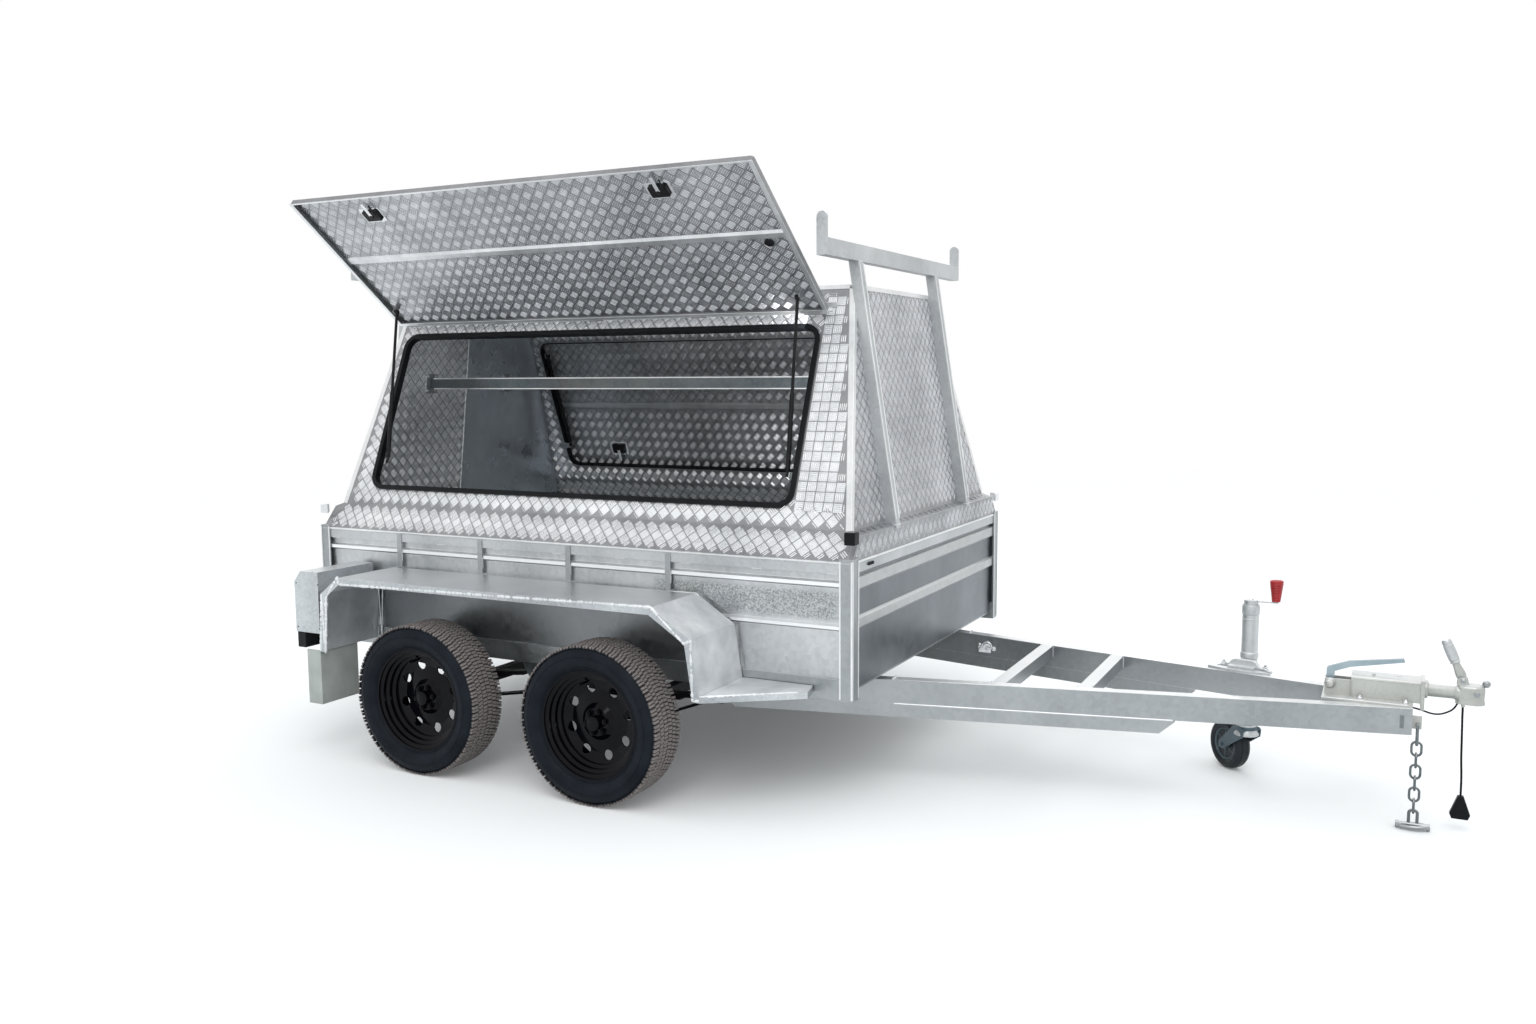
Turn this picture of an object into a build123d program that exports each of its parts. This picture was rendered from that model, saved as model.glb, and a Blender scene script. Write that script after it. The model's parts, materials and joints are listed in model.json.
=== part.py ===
from build123d import *
import os
from math import atan2, cos, degrees, hypot, pi, radians, sin, tan

# Tandem-axle box trailer with a sloped tread-plate canopy.
# Frame: +X forward to the drawbar, +Y to the trailer's left, +Z up, z = 0 on the ground.
# The origin is on the ground under the middle of the overall length and width.

# Driving dimensions, in millimetres ---------------------------------------------------

# Tub
tub_length = 2500.0
tub_width = 1700.0
tub_top = 910.0
chassis_bottom = 424.0
chassis_rail_height = 75.0
chassis_rail_width = 50.0
floor_sheet = 3.0
top_rail_size = 40.0
post_leg = 50.0
post_sheet = 5.0
post_stand = 12.0
side_sheet = 3.0
swage_depth = 12.0
side_bands = [(667.0, 692.0), (818.0, 845.0)]
front_bands = [(669.0, 714.0), (806.0, 858.0)]
front_panel_drop = 42.0
front_rail_height = 50.0
swage_slant = 7.0
stake_width = 22.0
stake_positions = [-742.0, -1194.0, -1627.0, -2055.0]
corner_gap = 0.5

# Wheels and running gear
tyre_radius = 298.0
tyre_width = 186.0
rim_radius = 203.0
wheel_outside_tub = 296.0
axle_spacing = 814.0
axle_group_x = -1325.0
axle_beam = 45.0
hub_bore = 20.0
hub_clearance = 0.05
hub_radius = 42.0
spring_width = 45.0
spring_leaf = 8.0
spring_leaves = 4
spring_half_length = 372.0
spring_rise = 30.0
spring_inside_tub = 50.0
axle_seat = 8.0
radius_rod_drop = 34.0

# Mudguards
guard_outside_tub = 313.0
guard_top = 762.0
guard_sheet = 3.0
guard_lip = 26.0
light_box_length = 130.0
flap_bottom = 235.0
flap_sheet = 6.0

# Canopy
canopy_wall = 20.0
canopy_base = tub_top
canopy_inset = 6.0
ledge_top = 995.0
hip_height = 1009.5
hip_inset = 83.0
hip_setback = 45.0
roof_height = 1884.0
side_lean = 351.0
roof_front_setback = 183.0
roof_rear_setback = 150.0
opening_rear_margin = 190.0
opening_front_x = -300.0
opening_low = 82.0
opening_high = 774.0
opening_corner = 55.0
seal_bead = 9.0
seal_outside = 13.0
seal_inside = 6.0
cap_leg = 40.0
cap_sheet = 5.0
cap_drop = 24.0
cap_rise = 8.0
inner_bar_bottom = 1497.0
inner_bar_height = 50.0
inner_bar_width = 25.0
inner_bar_y = 260.0

# Gull-wing doors
door_overlap = 42.0
door_hinge_up = 825.0
door_low = 60.0
door_gap = 6.0
door_depth = 22.0
door_sheet = 3.0
door_open_angle = 106.0
hinge_pin_radius = 4.0
hinge_clearance = 0.05
strut_from_jamb = 35.0
strut_base_up = 200.0
strut_base_in = -14.0
strut_door_drop = 124.0
strut_door_out = -10.0
strut_eye_radius = 6.5
strut_tube_radius = 9.0
strut_tube_length = 300.0
strut_rod_radius = 4.0
strut_rod_length = 395.0

# Ladder racks
rack_post = 40.0
rack_post_outside_roof = 9.0
rack_bar_bottom = 1968.0
rack_bar_height = 60.0
rack_bar_half = 706.0
rack_horn_rise = 90.0
rack_horn_sheet = 8.0
rack_bar_stand_off = {"front": 0.0, "rear": 20.0}

# Drawbar and coupling
drawbar_reach = 1723.0
drawbar_rail_height = 90.0
drawbar_rail_width = 50.0
drawbar_spread_inset = 366.0
drawbar_nose = 102.0
drawbar_tail_x = -700.0
drawbar_wall = 3.0
doubler_height = 50.0
doubler_rear_x = -620.0
doubler_front_x = 930.0
drawbar_member_x = [370.0, 670.0]
coupling_plate = 8.0
coupling_body_rear = 1530.0
coupling_body_front = 1757.0
coupling_body_half = 48.0
coupling_body_height = 76.0
coupling_neck_radius = 24.0
coupling_neck_clearance = 0.1
coupling_reach = 1950.0
coupling_ball_x = 1905.0
coupling_ball_radius = 25.0
coupling_ball_clearance = 0.4

# Safety chain
chain_links = 6
chain_wire = 4.0
chain_link_length = 56.0
chain_link_width = 38.0
chain_slack = 0.3
chain_floor_gap = 6.0
shackle_wire = 5.0
shackle_half_width = 13.0

# Jockey wheel
jockey_crank_reach = 88.0
jockey_x = 1152.0
jockey_tube_radius = 30.0
jockey_leg_radius = 24.0
jockey_tube_top = 672.0
jockey_tube_bottom = 208.0
jockey_leg_bottom = 195.5
jockey_leg_top = 520.0
jockey_leg_clearance = 0.1
jockey_pivot_up = 420.0
jockey_wheel_radius = 98.0
jockey_wheel_width = 62.0
jockey_trail = 100.0
jockey_rail_gap = 31.0
jockey_swivel = 36.0
jockey_drum_radius = 32.0
fork_sheet = 4.0
fork_clearance = 6.0

# Tailgate
tailgate_depth = 32.0
tailgate_gap = 6.0
tailgate_hinge_places = [-500.0, 0.0, 500.0]

# Worked-out reference values ------------------------------------------------------------

rear_reach = tub_length + tailgate_gap + tailgate_depth
front_x = (rear_reach - coupling_reach) / 2
rear_x = front_x - tub_length
side_y = tub_width / 2
skin_y = side_y - post_sheet
skin_front_x = front_x - post_sheet
skin_rear_x = rear_x + post_sheet
chassis_top = chassis_bottom + chassis_rail_height
floor_top = chassis_top + floor_sheet
wheel_outer_y = side_y + wheel_outside_tub
guard_outer_y = side_y + guard_outside_tub
spring_line_y = side_y - spring_inside_tub
hip_half_width = skin_y - canopy_inset - hip_inset
roof_half_width = hip_half_width - side_lean
rack_post_y = roof_half_width + rack_post_outside_roof
opening_rear_x = opening_rear_margin - tub_length
drawbar_spread = side_y - drawbar_spread_inset
wheel_centre_y = wheel_outer_y - tyre_width / 2
axle_xs = {"front": axle_group_x + axle_spacing / 2, "rear": axle_group_x - axle_spacing / 2}

nodes = {}


def at(x):
    """Row X of a place given forward from the tub's front face."""
    return front_x + x


def block(x0, x1, y0, y1, z0, z1):
    """Box between two opposite corners."""
    centre = ((x0 + x1) / 2, (y0 + y1) / 2, (z0 + z1) / 2)
    return Pos(*centre) * Box(abs(x1 - x0), abs(y1 - y0), abs(z1 - z0))


def prism_x(points_yz, x0, x1):
    """Polygon in the YZ plane carried along X from x0 to x1."""
    outline = make_face(Polyline([(x0, y, z) for y, z in points_yz], close=True))
    return extrude(outline, amount=x1 - x0, dir=(1, 0, 0))


def prism_y(points_xz, y0, y1):
    """Polygon in the XZ plane carried along Y from y0 to y1."""
    outline = make_face(Polyline([(x, y0, z) for x, z in points_xz], close=True))
    return extrude(outline, amount=y1 - y0, dir=(0, 1, 0))


def prism_z(points_xy, z0, z1):
    """Polygon in the XY plane carried up from z0 to z1."""
    outline = make_face(Polyline([(x, y, z0) for x, y in points_xy], close=True))
    return extrude(outline, amount=z1 - z0, dir=(0, 0, 1))


def rod(start, end, radius):
    """Round bar between two points."""
    start, end = Vector(*start), Vector(*end)
    run = end - start
    seat = Plane(origin=start, z_dir=run)
    return seat * Cylinder(radius, run.length, align=(Align.CENTER, Align.CENTER, Align.MIN))


def disc_y(x, y0, y1, z, radius):
    """Cylinder along Y."""
    return rod((x, min(y0, y1), z), (x, max(y0, y1), z), radius)


def left_of(shape):
    """The same piece on the trailer's left side."""
    return mirror(shape, about=Plane.XZ)


def group(*shapes):
    """Separate solids kept in one node."""
    return Compound(children=[solid for shape in shapes for solid in shape.solids()])


# Chassis and tub ---------------------------------------------------------------------


def swage_line(bands, low, high, flat_y, proud_y):
    """Outline, from low to high, of a sheet with raised horizontal bands."""
    line = [(flat_y, low)]
    for band_low, band_high in bands:
        line += [
            (flat_y, band_low),
            (proud_y, band_low + swage_slant),
            (proud_y, band_high - swage_slant),
            (flat_y, band_high),
        ]
    return line + [(flat_y, high)]


def swaged_sheet_points(bands, low, high, flat, proud):
    """Closed outline of the swaged sheet, one sheet thick."""
    outer = swage_line(bands, low, high, flat, proud)
    inner = [(place - side_sheet, height) for place, height in reversed(outer)]
    return outer + inner


def build_chassis():
    rail_in = skin_y - chassis_rail_width
    side_rail = block(skin_rear_x, skin_front_x, rail_in, skin_y, chassis_bottom, chassis_top)
    hollow = 3.0
    bore = block(
        skin_rear_x - 1,
        skin_front_x + 1,
        rail_in + hollow,
        skin_y - hollow,
        chassis_bottom + hollow,
        chassis_top - hollow,
    )
    side_rail = side_rail - bore
    nodes["chassis_side_rails"] = group(side_rail, left_of(side_rail))
    member = 50.0
    front_low = chassis_top - front_rail_height
    front_line = skin_front_x - swage_depth - side_sheet - corner_gap
    spots = [skin_rear_x + member / 2]
    inner_members = 4
    for index in range(1, inner_members + 1):
        spots.append(skin_rear_x + (skin_front_x - skin_rear_x) * index / (inner_members + 1))
    bars = []
    for spot in sorted(spots):
        bars.append(
            block(
                spot - member / 2, spot + member / 2, -rail_in, rail_in, chassis_bottom, chassis_top
            )
        )
    bars.append(block(front_line - member, front_line, -rail_in, rail_in, front_low, chassis_top))
    nodes["cross_members"] = group(*bars)
    floor_reach = skin_y - swage_depth - side_sheet - corner_gap
    nodes["tub_floor"] = block(
        skin_rear_x + post_leg,
        skin_front_x - swage_depth - side_sheet - corner_gap,
        -floor_reach,
        floor_reach,
        chassis_top,
        floor_top,
    )


def build_tub():
    flat = skin_y - swage_depth
    high = tub_top - top_rail_size
    points = swaged_sheet_points(side_bands, chassis_top, high, flat, skin_y - 1.0)
    side = prism_x(points, skin_rear_x + post_sheet, skin_front_x - post_sheet)
    nodes["tub_sides"] = group(side, left_of(side))
    flat_x = skin_front_x - swage_depth
    front_low = chassis_top - front_panel_drop
    front_points = swaged_sheet_points(front_bands, front_low, high, flat_x, skin_front_x - 1.0)
    front_half = skin_y - swage_depth - side_sheet - corner_gap
    front_panel = prism_y(front_points, -front_half, front_half)
    chassis_rail = block(
        skin_rear_x,
        skin_front_x,
        skin_y - chassis_rail_width - corner_gap,
        skin_y,
        chassis_bottom,
        chassis_top,
    )
    nodes["tub_front_panel"] = front_panel - chassis_rail - left_of(chassis_rail)
    rail_low = tub_top - top_rail_size
    rail_in = skin_y - top_rail_size
    side_rail = block(skin_rear_x, skin_front_x, rail_in, skin_y, rail_low, tub_top)
    front_rail = block(skin_front_x - top_rail_size, skin_front_x, -rail_in, rail_in, rail_low, tub_top)
    rear_rail = block(skin_rear_x, skin_rear_x + top_rail_size, -rail_in, rail_in, rail_low, tub_top)
    nodes["top_rails"] = group(side_rail, left_of(side_rail), front_rail, rear_rail)
    post_top = tub_top + post_stand
    leg_out = skin_y - post_leg
    front_post = block(front_x - post_leg, front_x, skin_y, side_y, chassis_bottom, post_top)
    front_post += block(skin_front_x, front_x, leg_out, side_y, chassis_bottom, post_top)
    rear_post = block(rear_x, rear_x + post_leg, skin_y, side_y, chassis_bottom, post_top)
    rear_post += block(rear_x, skin_rear_x, leg_out, side_y, chassis_bottom, post_top)
    stakes = [front_post, left_of(front_post), rear_post, left_of(rear_post)]
    for spot in stake_positions:
        stake = block(
            at(spot) - stake_width / 2,
            at(spot) + stake_width / 2,
            skin_y,
            side_y,
            guard_top + guard_sheet,
            tub_top - 8.0,
        )
        stakes += [stake, left_of(stake)]
    nodes["side_posts"] = group(*stakes)


def build_tailgate():
    low = floor_top + 4.0
    high = tub_top - top_rail_size - 6.0
    half = skin_y - post_leg - 6.0
    outer_x = rear_x - tailgate_gap - tailgate_depth
    frame_x = rear_x - tailgate_gap
    sheet = block(outer_x, outer_x + side_sheet, -half, half, low, high)
    ribs = [(low, low + 40.0), (high - 40.0, high), (low + 165.0, low + 205.0)]
    gate = sheet
    for rib_low, rib_high in ribs:
        gate += block(outer_x, frame_x, -half, half, rib_low, rib_high)
    for sign in (-1, 1):
        gate += block(outer_x, frame_x, sign * half, sign * (half - 40.0), low, high)
    pin_x, pin_z, pin_radius = tailgate_axis()
    for place in tailgate_hinge_places:
        near, far = place - 30.0, place + 30.0
        sleeve = disc_y(pin_x, near, far, pin_z, pin_radius + 5.0)
        strap = block(outer_x, outer_x + 8.0, near, far, pin_z, low + 20.0)
        bore = disc_y(pin_x, near - 1.0, far + 1.0, pin_z, pin_radius + hinge_clearance)
        gate = gate + sleeve + strap - bore
    nodes["tailgate"] = gate
    pins = []
    for place in tailgate_hinge_places:
        pin = disc_y(pin_x, place - 52.0, place + 52.0, pin_z, pin_radius)
        for end in (-1, 1):
            y0 = place + end * 36.0
            y1 = place + end * 52.0
            pin += block(pin_x - 5.0, rear_x, min(y0, y1), max(y0, y1), pin_z - 7.0, pin_z + 7.0)
        pins.append(pin)
    nodes["tailgate_hinges"] = group(*pins)


def tailgate_axis():
    """X, Z and pin radius of the tailgate's hinge, below its outer lower edge."""
    pin_radius = 6.0
    return rear_x - tailgate_gap - tailgate_depth + 4.0, floor_top - 12.0, pin_radius


# Running gear --------------------------------------------------------------------------


def wheel_nodes(suffix, axle_x, sign):
    """Tyre and rim of one wheel, sign +1 on the left and -1 on the right."""
    x = at(axle_x)
    half = tyre_width / 2
    shoulder = 26.0
    bead_half = half - 22.0
    side_bulge = rim_radius + (tyre_radius - rim_radius) * 0.45
    with BuildSketch(Plane.XY) as section:
        with BuildLine():
            start = (rim_radius, -bead_half)
            Spline(start, (side_bulge, -half), (tyre_radius - shoulder * 0.5, -half + shoulder * 0.45))
            Line((tyre_radius - shoulder * 0.5, -half + shoulder * 0.45), (tyre_radius, -half + shoulder))
            Line((tyre_radius, -half + shoulder), (tyre_radius, half - shoulder))
            Line((tyre_radius, half - shoulder), (tyre_radius - shoulder * 0.5, half - shoulder * 0.45))
            Spline(
                (tyre_radius - shoulder * 0.5, half - shoulder * 0.45),
                (side_bulge, half),
                (rim_radius, bead_half),
            )
            Line((rim_radius, bead_half), (rim_radius, -bead_half))
        make_face()
    tyre = revolve(section.sketch, axis=Axis.Y)
    hollow = Pos(0, 0, 0) * Rot(90, 0, 0) * Cylinder(tyre_radius - 14.0, 2 * bead_half - 16.0)
    tyre = tyre - hollow
    rim = build_rim(bead_half)
    place = Pos(x, sign * wheel_centre_y, tyre_radius)
    if sign < 0:
        rim = mirror(rim, about=Plane.XZ)
    nodes["tyre_" + suffix] = place * tyre
    nodes["rim_" + suffix] = place * rim


def build_rim(bead_half):
    """Stepped steel rim with a dished, pierced centre; +Y is the outside of the wheel."""
    flange = rim_radius - 0.3
    barrel = 4.0
    steps = [
        (flange, bead_half),
        (flange, bead_half - 8.0),
        (flange - 14.0, bead_half - 12.0),
        (flange - 14.0, bead_half - 26.0),
        (flange - 26.0, bead_half - 32.0),
        (flange - 26.0, bead_half - 48.0),
        (flange - 38.0, bead_half - 54.0),
        (flange - 38.0, -bead_half + 24.0),
        (flange - 12.0, -bead_half + 10.0),
        (flange, -bead_half),
    ]
    inner = [(radius - barrel - 2.0, y) for radius, y in reversed(steps)]
    outline = make_face(Polyline([(radius, y, 0) for radius, y in steps + inner], close=True))
    rim = revolve(outline, axis=Axis.Y)
    disc_radius = flange - 38.0 - 1.0
    disc_points = [
        (0.0, 18.0),
        (52.0, 18.0),
        (70.0, 4.0),
        (120.0, -4.0),
        (disc_radius, 6.0),
        (disc_radius, 0.0),
        (120.0, -10.0),
        (70.0, -3.0),
        (48.0, 11.0),
        (0.0, 11.0),
    ]
    disc = revolve(make_face(Polyline([(r, y, 0) for r, y in disc_points], close=True)), axis=Axis.Y)
    holes = 8
    for index in range(holes):
        angle = 360.0 * index / holes - 16.0
        hole = Rot(0, angle, 0) * Pos(128.0, 0, 0) * Rot(90, 0, 0) * Cylinder(19.0, 60.0)
        disc = disc - hole
    hub = Pos(0, -29.0, 0) * Rot(90, 0, 0) * Cylinder(hub_radius, 82.0)
    hub_cap = Pos(0, 26.0, 0) * Rot(90, 0, 0) * Cylinder(27.0, 30.0)
    bore = Pos(0, -40.0, 0) * Rot(90, 0, 0) * Cylinder(hub_bore + hub_clearance, 90.0)
    return rim + disc + hub + hub_cap - bore


def build_axles():
    inner_face_y = wheel_centre_y - 70.0
    axles = []
    for axle_x in axle_xs.values():
        x = at(axle_x)
        half = axle_beam / 2
        beam_end = inner_face_y - 8.0
        beam = block(x - half, x + half, -beam_end, beam_end, tyre_radius - half, tyre_radius + half)
        stub_end = wheel_centre_y + 2.0
        stub = disc_y(x, -stub_end, stub_end, tyre_radius, hub_bore)
        axle = beam + stub
        for sign in (-1, 1):
            middle = sign * spring_line_y
            top = tyre_radius + half
            axle += block(x - 34.0, x + 34.0, middle - 24.0, middle + 24.0, top - 1.0, top + axle_seat)
        axles.append(axle)
    nodes["axles"] = group(*axles)


def spring_leaf_solid(centre_x, y, half_length, bottom_z, rise, thickness):
    """One arched leaf: a shallow arc whose ends stand higher than its middle."""
    low = ThreePointArc((-half_length, 0, rise), (0, 0, 0), (half_length, 0, rise))
    high = ThreePointArc(
        (half_length, 0, rise + thickness), (0, 0, thickness), (-half_length, 0, rise + thickness)
    )
    ends = [
        Line((half_length, 0, rise), (half_length, 0, rise + thickness)),
        Line((-half_length, 0, rise + thickness), (-half_length, 0, rise)),
    ]
    face = make_face([low, ends[0], high, ends[1]])
    leaf = extrude(face, amount=spring_width, dir=(0, 1, 0))
    return Pos(centre_x, y - spring_width / 2, bottom_z) * leaf


def build_springs():
    seat = tyre_radius + axle_beam / 2 + axle_seat
    springs, brackets = [], []
    rise = spring_rise
    for axle_x in axle_xs.values():
        x = at(axle_x)
        pack = None
        for index in range(spring_leaves):
            scale = 1.0 - 0.22 * index
            length = spring_half_length * scale
            height = seat + (spring_leaves - 1 - index) * spring_leaf
            leaf = spring_leaf_solid(x, spring_line_y, length, height, rise * scale * scale, spring_leaf)
            pack = leaf if pack is None else pack + leaf
        springs += [pack, left_of(pack)]
    eye_z = seat + rise + (spring_leaves - 0.5) * spring_leaf
    hangers = [
        (at(axle_xs["front"]) + spring_half_length, 30.0, 24.0, eye_z - 34.0),
        (at(axle_group_x), 120.0, 46.0, eye_z - 96.0),
        (at(axle_xs["rear"]) - spring_half_length, 30.0, 24.0, eye_z - 34.0),
    ]
    for place, top_half, low_half, low in hangers:
        for y in (spring_line_y - spring_width / 2 - 6.5, spring_line_y + spring_width / 2 + 0.5):
            plate = prism_y(
                [
                    (place - top_half, chassis_bottom),
                    (place + top_half, chassis_bottom),
                    (place + low_half, low),
                    (place - low_half, low),
                ],
                y,
                y + 6.0,
            )
            brackets += [plate, left_of(plate)]
    rods = []
    axle_low = tyre_radius - axle_beam / 2
    for place, axle_x in ((hangers[0], axle_xs["front"]), (hangers[1], axle_xs["rear"])):
        x, start, low = at(axle_x), place[0], place[3] + 14.0
        foot = axle_low - radius_rod_drop
        points = [
            (start, low),
            (x + 40.0, foot),
            (x - 40.0, foot),
            (x - 40.0, foot + 8.0),
            (x + 38.0, foot + 8.0),
            (start, low + 9.0),
        ]
        bar = prism_y(points, spring_line_y - 20.0, spring_line_y + 20.0)
        for side in (-1, 1):
            near, far = x + side * 26.0, x + side * 34.0
            bar += block(near, far, spring_line_y - 20.0, spring_line_y + 20.0, foot + 1.0, axle_low)
        rods += [bar, left_of(bar)]
    nodes["radius_rods"] = group(*rods)
    nodes["leaf_springs"] = group(*springs)
    nodes["spring_hangers"] = group(*brackets)


# Mudguards ------------------------------------------------------------------------------


def guard_path():
    """Outer line of the mudguard, from the lower front corner to the lower rear corner."""
    return [
        (at(-430.0), chassis_bottom + 31.0),
        (at(-462.0), guard_top - 100.0),
        (at(-620.0), guard_top),
        (at(-2090.0), guard_top),
        (at(-2180.0), guard_top - 70.0),
        (at(-2196.0), chassis_bottom + 31.0),
    ]


def offset_path(path, distance):
    """The path moved sideways by a distance, mitred at its corners; positive is inside."""
    moved = []
    for index, point in enumerate(path):
        normals = []
        for first, second in ((index - 1, index), (index, index + 1)):
            if first < 0 or second >= len(path):
                continue
            dx, dz = path[second][0] - path[first][0], path[second][1] - path[first][1]
            run = hypot(dx, dz)
            normals.append((-dz / run, dx / run))
        nx = sum(n[0] for n in normals) / len(normals)
        nz = sum(n[1] for n in normals) / len(normals)
        scale = distance / (nx * nx + nz * nz)
        moved.append((point[0] + nx * scale, point[1] + nz * scale))
    return moved


def build_guards():
    path = guard_path()
    under = offset_path(path, guard_sheet)
    lip_line = offset_path(path, guard_lip)
    sheet = prism_y(path + list(reversed(under)), side_y, guard_outer_y)
    lip = prism_y(path + list(reversed(lip_line)), guard_outer_y - guard_sheet, guard_outer_y)
    guard = sheet + lip
    nodes["mudguards"] = group(guard, left_of(guard))
    step_z = path[0][1]
    step = prism_z(
        [
            (path[0][0], side_y),
            (at(-150.0), side_y),
            (at(-125.0), side_y + 96.0),
            (path[0][0], guard_outer_y),
        ],
        step_z - 8.0,
        step_z + 14.0,
    )
    step = step - prism_y(path + list(reversed(under)), side_y - 1, guard_outer_y + 1)
    step = max(step.solids(), key=lambda solid: solid.volume)
    nodes["steps"] = group(step, left_of(step))
    box_front = path[4][0] - 16.0
    box_rear = box_front - light_box_length
    box_inner = side_y + 12.0
    light_box = prism_y(
        [
            (box_front, guard_top - 235.0),
            (box_front, guard_top + 14.0),
            (box_rear + 34.0, guard_top + 14.0),
            (box_rear, guard_top - 30.0),
            (box_rear, guard_top - 235.0),
        ],
        box_inner,
        guard_outer_y,
    )
    light_box = light_box - prism_y([(x, z) for x, z in guard_keepout(path)], side_y - 1, guard_outer_y + 1)
    light_box = max(light_box.solids(), key=lambda solid: solid.volume)
    nodes["light_boxes"] = group(light_box, left_of(light_box))
    lamp_low = guard_top - 300.0
    lamp = block(
        box_rear + 2.0,
        box_rear + 44.0,
        guard_outer_y - 200.0,
        guard_outer_y - 4.0,
        lamp_low,
        guard_top - 235.0,
    )
    nodes["tail_lamps"] = group(lamp, left_of(lamp))
    flap_x = path[5][0]
    flap_points = [
        (flap_x - guard_sheet, guard_outer_y - 2.0),
        (flap_x - guard_sheet - 74.0, guard_outer_y - 2.0),
        (flap_x - guard_sheet - 74.0, guard_outer_y - 2.0 - flap_sheet),
        (flap_x - guard_sheet - flap_sheet, guard_outer_y - 2.0 - flap_sheet),
        (flap_x - guard_sheet - flap_sheet, guard_outer_y - 200.0),
        (flap_x - guard_sheet, guard_outer_y - 200.0),
    ]
    flap = prism_z(flap_points, flap_bottom, lamp_low - 5.0)
    nodes["mudflaps"] = group(flap, left_of(flap))


def guard_keepout(path):
    """Area under and inside the mudguard's rear end, which the light box stays out of."""
    return [
        (path[3][0] + 10.0, path[3][1] + 0.05),
        (path[3][0], path[3][1] + 0.05),
        (path[4][0] - 0.05, path[4][1] + 0.05),
        (path[5][0] - 0.05, path[5][1]),
        (path[5][0] + 100.0, path[5][1]),
    ]


# Canopy ---------------------------------------------------------------------------------


def side_profile(inward):
    """Half outline (y, z) of the canopy's side, moved in by a wall thickness."""
    base_y = skin_y - canopy_inset
    flare_dy, flare_dz = base_y - hip_half_width, hip_height - canopy_base
    wall_dy, wall_dz = hip_half_width - roof_half_width, roof_height - hip_height
    flare = hypot(flare_dy, flare_dz)
    wall = hypot(wall_dy, wall_dz)
    base = (base_y - inward * flare / flare_dz, canopy_base)
    roof_z = roof_height - inward
    roof_y = roof_half_width + wall_dy * inward / wall_dz - inward * wall / wall_dz
    slope_a, slope_b = flare_dy / flare_dz, wall_dy / wall_dz
    hip_at_base = hip_half_width + slope_b * (hip_height - canopy_base) - inward * wall / wall_dz
    hip_rise = (base[0] - hip_at_base) / (slope_a - slope_b) if inward else flare_dz
    hip = (base[0] - slope_a * hip_rise, canopy_base + hip_rise)
    return [base, hip, (roof_y, roof_z)]


def end_profile(inward, roof_setback):
    """Outline (setback, z) of the canopy's front or rear, moved in by a wall thickness."""
    lip = canopy_inset
    ledge_run, ledge_rise = hip_setback - lip, hip_height - ledge_top
    wall_run, wall_rise = roof_setback - hip_setback, roof_height - hip_height
    wall = hypot(wall_run, wall_rise)
    ledge = hypot(ledge_run, ledge_rise)
    lip_in = lip + inward
    ledge_drop = inward * ledge / ledge_run
    ledge_slope = ledge_rise / ledge_run
    wall_slope = wall_run / wall_rise
    wall_in = inward * wall / wall_rise
    lip_top = ledge_top - ledge_drop + ledge_slope * inward
    hip_x = hip_setback
    for _ in range(20):
        hip_z = ledge_top - ledge_drop + ledge_slope * (hip_x - lip)
        hip_x = hip_setback + wall_in + wall_slope * (hip_z - hip_height)
    hip_z = ledge_top - ledge_drop + ledge_slope * (hip_x - lip)
    roof_x = roof_setback + wall_in - wall_slope * inward
    return [(lip_in, canopy_base), (lip_in, lip_top), (hip_x, hip_z), (roof_x, roof_height - inward)]


def canopy_solid(inward, foot):
    """Canopy's outer or inner volume: the side outline crossed with the end outline."""
    half = side_profile(inward)
    half = [(half[0][0], half[0][1] - foot)] + half[1:] if foot else half
    across = [(-y, z) for y, z in half] + [(y, z) for y, z in reversed(half)]
    front = [(front_x - s, z) for s, z in end_profile(inward, roof_front_setback)]
    rear = [(rear_x + s, z) for s, z in end_profile(inward, roof_rear_setback)]
    if foot:
        front = [(front[0][0], front[0][1] - foot)] + front
        rear = [(rear[0][0], rear[0][1] - foot)] + rear
    along = rear + list(reversed(front))
    return prism_x(across, rear_x - 50, front_x + 50) & prism_y(along, -side_y - 50, side_y + 50)


def wall_plane(sign):
    """Local plane of a side wall: x along the trailer, y up the slope, z outward."""
    rise = Vector(0, -sign * (hip_half_width - roof_half_width), roof_height - hip_height).normalized()
    outward = Vector(0, sign * rise.Z, abs(rise.Y))
    return Plane(
        origin=(0, sign * hip_half_width, hip_height),
        x_dir=(1, 0, 0) if sign < 0 else (-1, 0, 0),
        z_dir=outward,
    )


def local_block(sign, x0, x1, up0, up1, out0, out1):
    """Block in a side wall's plane, given by row X, height up the slope and distance out."""
    turn = 1 if sign < 0 else -1
    return wall_plane(sign) * block(turn * x0, turn * x1, up0, up1, out0, out1)


def local_ring(sign, x0, x1, up0, up1, corner, out0, out1):
    """Rounded rectangular prism in a side wall's plane."""
    turn = 1 if sign < 0 else -1
    sketch = Pos(turn * (x0 + x1) / 2, (up0 + up1) / 2) * RectangleRounded(abs(x1 - x0), up1 - up0, corner)
    return wall_plane(sign) * Pos(0, 0, out0) * extrude(sketch, amount=out1 - out0)


def opening_prism(sign, grow, out0, out1):
    """The side opening's outline, grown all round, as a prism across the wall."""
    return local_ring(
        sign,
        at(opening_rear_x) - grow,
        at(opening_front_x) + grow,
        opening_low - grow,
        opening_high + grow,
        opening_corner + grow,
        out0,
        out1,
    )


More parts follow.
